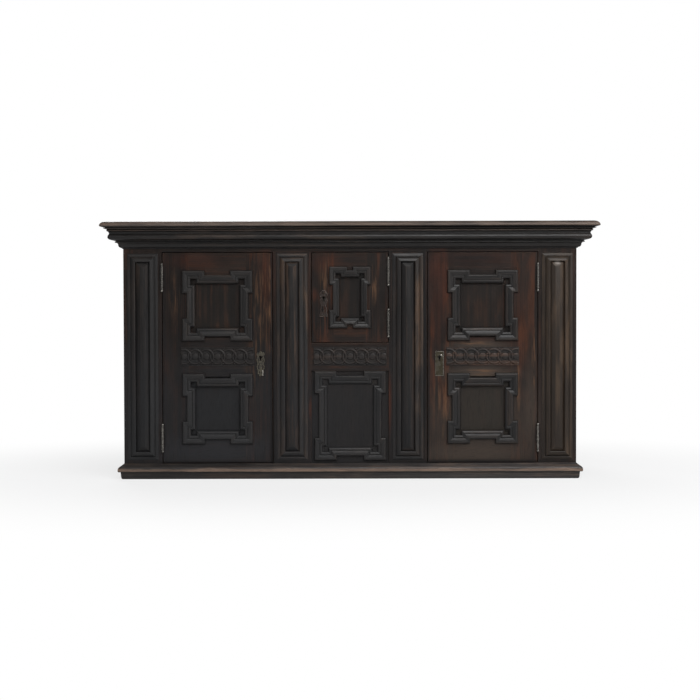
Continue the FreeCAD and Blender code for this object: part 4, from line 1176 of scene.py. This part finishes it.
# Right half outlines from top to bottom, and cut-outs that lie on both sides.
PLATE_SHAPES = {
    "left": [(0, 49), (6, 48), (8, 44), (13, 46), (17.6, 41), (16.4, 34), (12.6, 31), (15.6, 26), (17.8, 18),
             (16.2, 8), (12.8, 3), (16.0, -3), (17.8, -12), (15.4, -22), (11.4, -27), (14.2, -32),
             (13.4, -38), (8.6, -41), (6.6, -46), (0, -49)],
    "centre": [(0, 58), (5.0, 57), (9.2, 53.6), (9.8, 49.4), (14.4, 47.4), (17.8, 42), (16.8, 35),
               (12.4, 31.6), (11.0, 27), (14.6, 23), (17.2, 16), (15.2, 8), (10.8, 3), (9.8, -6),
               (12.8, -14), (14.6, -24), (12.4, -32), (14.8, -36), (17.8, -40), (17.8, -49), (0, -49)],
    "right": [(0, 49), (16.6, 49), (18, 47.6), (18, 0), (18, -47.6), (16.6, -49), (0, -49)],
}
CUT_OUTS = {
    "left": [[(7.2, 21), (9.6, 19), (12.0, 13), (10.2, 6), (7.4, 3), (8.6, 12)],
             [(4.2, -1), (9.4, -6), (11.4, -13), (8.6, -21), (5.4, -25), (6.8, -13)],
             [(2.6, -30), (7.8, -31), (6.6, -37), (2.4, -39)]],
    "centre": [[(6.6, -6), (8.8, -22), (6.8, -32), (2.6, -30), (2.6, -9)],
               [(2.4, 45), (6.4, 46.6), (6.0, 51.6), (2.2, 53)]],
    "right": [],
}
PLATE_METALS = {"left": (pierced_iron, pierced_iron), "centre": (brown_iron, umber_iron),
                "right": (plate_iron, rim_iron)}
NAIL_PLACES = {"left": [(0, 45), (0, -45)], "centre": [(0, 45), (0, -45)],
               "right": [(12.6, 43.4), (-12.6, 43.4), (12.6, -43.4), (-12.6, -43.4)]}
KEYHOLE_RISE = 27
PLATE_NARROWING = 0.93
COLLAR_SHARE = (1.9, 1.35)
RIM_SHARE = (0.86, 0.95)
RIM_SHIFT = (-1.1, -0.9)
hole = keyhole_outline(KEYHOLE_RISE)
collar = [(across * COLLAR_SHARE[0], (up - KEYHOLE_RISE) * COLLAR_SHARE[1] + KEYHOLE_RISE)
          for across, up in hole]
for side_name, door in DOORS.items():
    node = door + "_escutcheon"
    shape = [(across * PLATE_NARROWING, up) for across, up in PLATE_SHAPES[side_name]]
    shape += flipped(shape)
    rim_inner = [(across * RIM_SHARE[0] + RIM_SHIFT[0], up * RIM_SHARE[1] + RIM_SHIFT[1])
                 for across, up in shape]
    cut_outs = [points for right in CUT_OUTS[side_name] for points in (right, flipped(right))]
    plate_metal, rim_metal = PLATE_METALS[side_name]
    stand = Matrix.Translation(middle(node)) @ Matrix.Rotation(math.pi / 2, 4, "X")
    raised = stand @ Matrix.Translation((0, 0, 1.1 * MM))
    for part, outlines, depth, metal, place, replaced in (
        ("_plate_rim", [shape, rim_inner], 1.6, rim_metal, raised, ()),
        ("_keyhole_collar", [collar, hole], 1.4, dark_iron, raised, ()),
        ("_lock_plate", [shape, hole, *cut_outs], 2.0, plate_metal, stand, [node]),
    ):
        mesh = flat_plate(door + part, outlines, depth)
        mesh.transform(place)
        shown(mesh, door + part, metal, replaced, beside=node)


# Turned iron: the drop on the left plate and the collars on the hinges.
def turned(stock, axis, outline, sides=20):
    """A shape turned about an upright axis from (radius, height) points in millimetres."""
    stock.next_board()
    angles = [math.tau * number / sides for number in range(sides)]
    rows = [[axis + Vector((radius * math.cos(angle), radius * math.sin(angle), height)) * MM
             for angle in angles] for radius, height in outline]
    for row, following in zip(rows, rows[1:]):
        for number in range(sides):
            after = (number + 1) % sides
            corners = [row[number], row[after], following[after], following[number]]
            stock.face(corners, [ZERO] * 4, [ZERO] * 4, half=ZERO)


DROP_OUTLINE = [(1.2, -48), (3.2, -46.4), (3.5, -43.4), (2.3, -40.5), (3.2, -37), (2.9, -32), (1.6, -26),
                (0.8, -25)]
left_plate = "left_door_escutcheon"
stock = Stock()
turned(stock, Vector((PLATES["left"].x + 8.4 * MM, low(left_plate).y - 0.6 * MM, PLATES["left"].z)),
       DROP_OUTLINE, 12)
stock.piece("left_plate_drop", bright_iron, beside=left_plate, round_angle=40)

BARREL_HALF = 58.4 * MM
COLLAR_STARTS = (0.8, 16.0, 40.0)
COLLAR_OUTLINE = [(4.6, 0.0), (5.35, 0.8), (5.35, 2.6), (4.6, 3.4)]
for side_name, door in DOORS.items():
    axis_y = next(joint["pos_m"][1] for joint in frame["joints"] if joint["name"] == door + "_hinge")
    barrels = (low(side_name + "_post_hinges").z + BARREL_HALF,
               high(side_name + "_door_hinges").z - BARREL_HALF)
    for part, direction in (("door", 1), ("post", -1)):
        node = f"{side_name}_{part}_hinges"
        stock = Stock()
        for height in barrels:
            for start in COLLAR_STARTS:
                turned(stock, Vector((middle(node).x, axis_y, height)),
                       [(radius, direction * (start + along)) for radius, along in COLLAR_OUTLINE])
        stock.piece(f"{side_name}_{part}_hinge_collars", hinge_iron, beside=node, round_angle=35)

for node, item in frame["nodes"].items():
    metal = hinge_iron if "hinges" in node else lock_iron if node.endswith(("_lock", "_bolt")) else None
    if metal:
        item.data.materials.clear()
        item.data.materials.append(metal)


# Nails and the right plate's boss, set at marked points.
def stud_tree():
    w, given = shape_tree("studs", {"Geometry": ["Marks"], "Float": ["Radius", "Height"],
                                    "Vector": ["Facing"], "Material": ["Iron"]})
    head = w.first("GeometryNodeMeshUVSphere", {"Segments": 9, "Rings": 5, "Radius": given["Radius"]})
    flattening = w.calc("DIVIDE", given["Height"], given["Radius"])
    flat = w.first("GeometryNodeTransform", {"Geometry": head, "Scale": w.joined(1.0, 1.0, flattening)})
    size = w.node("FunctionNodeRandomValue", {2: 0.82, 3: 1.12, "Seed": 17}, data_type="FLOAT").outputs[1]
    row = w.first("GeometryNodeInstanceOnPoints", {"Points": given["Marks"], "Instance": flat,
                                                   "Rotation": given["Facing"], "Scale": size})
    return close_tree(w, row, given["Iron"])


STUDS = stud_tree()
TO_FRONT = (math.pi / 2, 0, 0)


def studs(name, points, radius, height, node, material, slot=None):
    mesh = grown(name, STUDS, {"Radius": radius * MM, "Height": height * MM, "Facing": TO_FRONT,
                               "Iron": material}, points)
    mesh.shade_smooth()
    shown(mesh, name, material, beside=node, slot=slot)


for side_name, door in DOORS.items():
    node = door + "_escutcheon"
    plate = PLATES[side_name]
    points = [(plate.x + a * MM, low(node).y - 0.4 * MM, plate.z + b * MM) for a, b in NAIL_PLACES[side_name]]
    studs(door + "_plate_nails", points, 2.2, 1.4, node, plate_iron)
boss = (PLATES["right"].x + 7.0 * MM, low("right_door_escutcheon").y - 0.6 * MM, PLATES["right"].z + 33 * MM)
studs("right_plate_boss", [boss], 5.0, 3.6, "right_door_escutcheon", bright_iron)

NAIL_SHARES = (0.22, 0.78)
NAIL_HEIGHTS = (0.045, 0.505, 0.955)
back_marks = []
back_low, back_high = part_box("back_boards")
for number in range(BACK_PLANKS):
    for share in NAIL_SHARES:
        for level in NAIL_HEIGHTS:
            dice = chance("back nail", number, share, level)
            across = back_low.x + (back_high.x - back_low.x) / BACK_PLANKS * (number + share)
            back_marks.append((across + dice.uniform(-4, 4) * MM, back_high.y - 0.5 * MM,
                               level + dice.uniform(-6, 6) * MM))
studs("back_nails", back_marks, 3.4, 0.9, "back_boards", lock_iron, slot="plate_iron")


# Floor, light and camera.
def floor_material():
    """Pale floor: nearly white to the camera, with the cupboard's soft shadow."""
    material = bpy.data.materials.new("pale_floor")
    material.use_nodes = True
    material.node_tree.nodes.clear()
    w = Wiring(material.node_tree)
    place = w.node("ShaderNodeTexCoord").outputs["Object"]
    tint = w.blend(w.noise(place, 3.0, 3.0), (0.66, 0.66, 0.66), (0.70, 0.70, 0.70))
    matt = w.first("ShaderNodeBsdfDiffuse", {"Color": tint})
    white = w.first("ShaderNodeEmission", {"Color": (1, 1, 1), "Strength": 1.0})
    ray = w.node("ShaderNodeLightPath").outputs
    mirrored = w.calc("MAXIMUM", w.times(ray["Is Glossy Ray"], 0.3), ray["Is Transmission Ray"])
    seen = w.calc("MAXIMUM", ray["Is Camera Ray"], mirrored)
    distance = w.length(w.vector("MULTIPLY", place, (0.62, 1.0, 0.0)))
    share = w.times(seen, w.between(distance, 0.5, 1.6, 0.72, 1.0))
    mix = w.first("ShaderNodeMixShader", {0: share, 1: matt, 2: white})
    w.node("ShaderNodeOutputMaterial", {"Surface": mix})
    return material


FLOOR_HALF = 9
floor_mesh = bpy.data.meshes.new("studio_floor")
floor_mesh.from_pydata([(x, y, 0) for x, y in square_outline(FLOOR_HALF, FLOOR_HALF)], [], [(0, 1, 2, 3)])
floor_mesh.materials.append(floor_material())
floor = bpy.data.objects.new("studio_floor", floor_mesh)
bpy.context.scene.collection.objects.link(floor)

world = bpy.data.worlds.new("studio")
bpy.context.scene.world = world
world.use_nodes = True
world.node_tree.nodes.clear()
w = Wiring(world.node_tree)
ray = w.node("ShaderNodeLightPath").outputs
seen = w.calc("MAXIMUM", ray["Is Camera Ray"], ray["Is Transmission Ray"])
dim = w.first("ShaderNodeBackground", {"Color": (0.93, 0.96, 1.0), "Strength": 0.21})
white = w.first("ShaderNodeBackground", {"Color": (1, 1, 1), "Strength": 1.0})
w.node("ShaderNodeOutputWorld", {"Surface": w.first("ShaderNodeMixShader", {0: seen, 1: dim, 2: white})})


def soft_lamp(name, place, aim, width, height, power):
    data = bpy.data.lights.new(name, "AREA")
    data.shape = "RECTANGLE"
    data.size = width
    data.size_y = height
    data.energy = power
    lamp = bpy.data.objects.new(name, data)
    bpy.context.scene.collection.objects.link(lamp)
    lamp.location = place
    lamp.rotation_mode = "QUATERNION"
    lamp.rotation_quaternion = (Vector(aim) - Vector(place)).to_track_quat("-Z", "Y")
    lamp.visible_camera = False


AIM = (0, CASE_FRONT, 0.5)
soft_lamp("high_lamp", (1.2, -2.2, 3.6), AIM, 3.4, 2.2, 72)
soft_lamp("right_lamp", (3.0, -2.0, 1.7), (0.8, CASE_FRONT, 0.5), 1.0, 2.0, 24)
soft_lamp("front_lamp", (1.2, -3.7, 2.8), AIM, 3.4, 1.8, 90)
soft_lamp("left_lamp", (-2.8, -3.8, 2.0), AIM, 1.8, 1.8, 16)
soft_lamp("rear_lamp", (-1.4, 4.0, 3.0), (0, 0.2, 0.5), 2.4, 1.6, 110)

DISTANCE = 5.0
EYE_HEIGHT = 0.70
FRAME_WIDTH = 2.788
MIDDLE_HEIGHT = 0.5135
SENSOR = 36
ROLL = math.radians(-0.13)
DOWNWARD = math.radians(1.2)
camera = bpy.data.objects.new("photograph_camera", bpy.data.cameras.new("photograph_camera"))
bpy.context.scene.collection.objects.link(camera)
bpy.context.scene.camera = camera
camera.data.sensor_width = SENSOR
camera.data.lens = SENSOR * DISTANCE / FRAME_WIDTH
camera.data.shift_y = (MIDDLE_HEIGHT - EYE_HEIGHT + DISTANCE * math.tan(DOWNWARD)) / FRAME_WIDTH
camera.location = (0.0, CASE_FRONT - DISTANCE, EYE_HEIGHT)
turn = Matrix.Rotation(math.pi / 2 - DOWNWARD, 4, "X") @ Matrix.Rotation(ROLL, 4, "Z")
camera.rotation_mode = "QUATERNION"
camera.rotation_quaternion = turn.to_quaternion()
bpy.context.scene.view_settings.view_transform = "Standard"
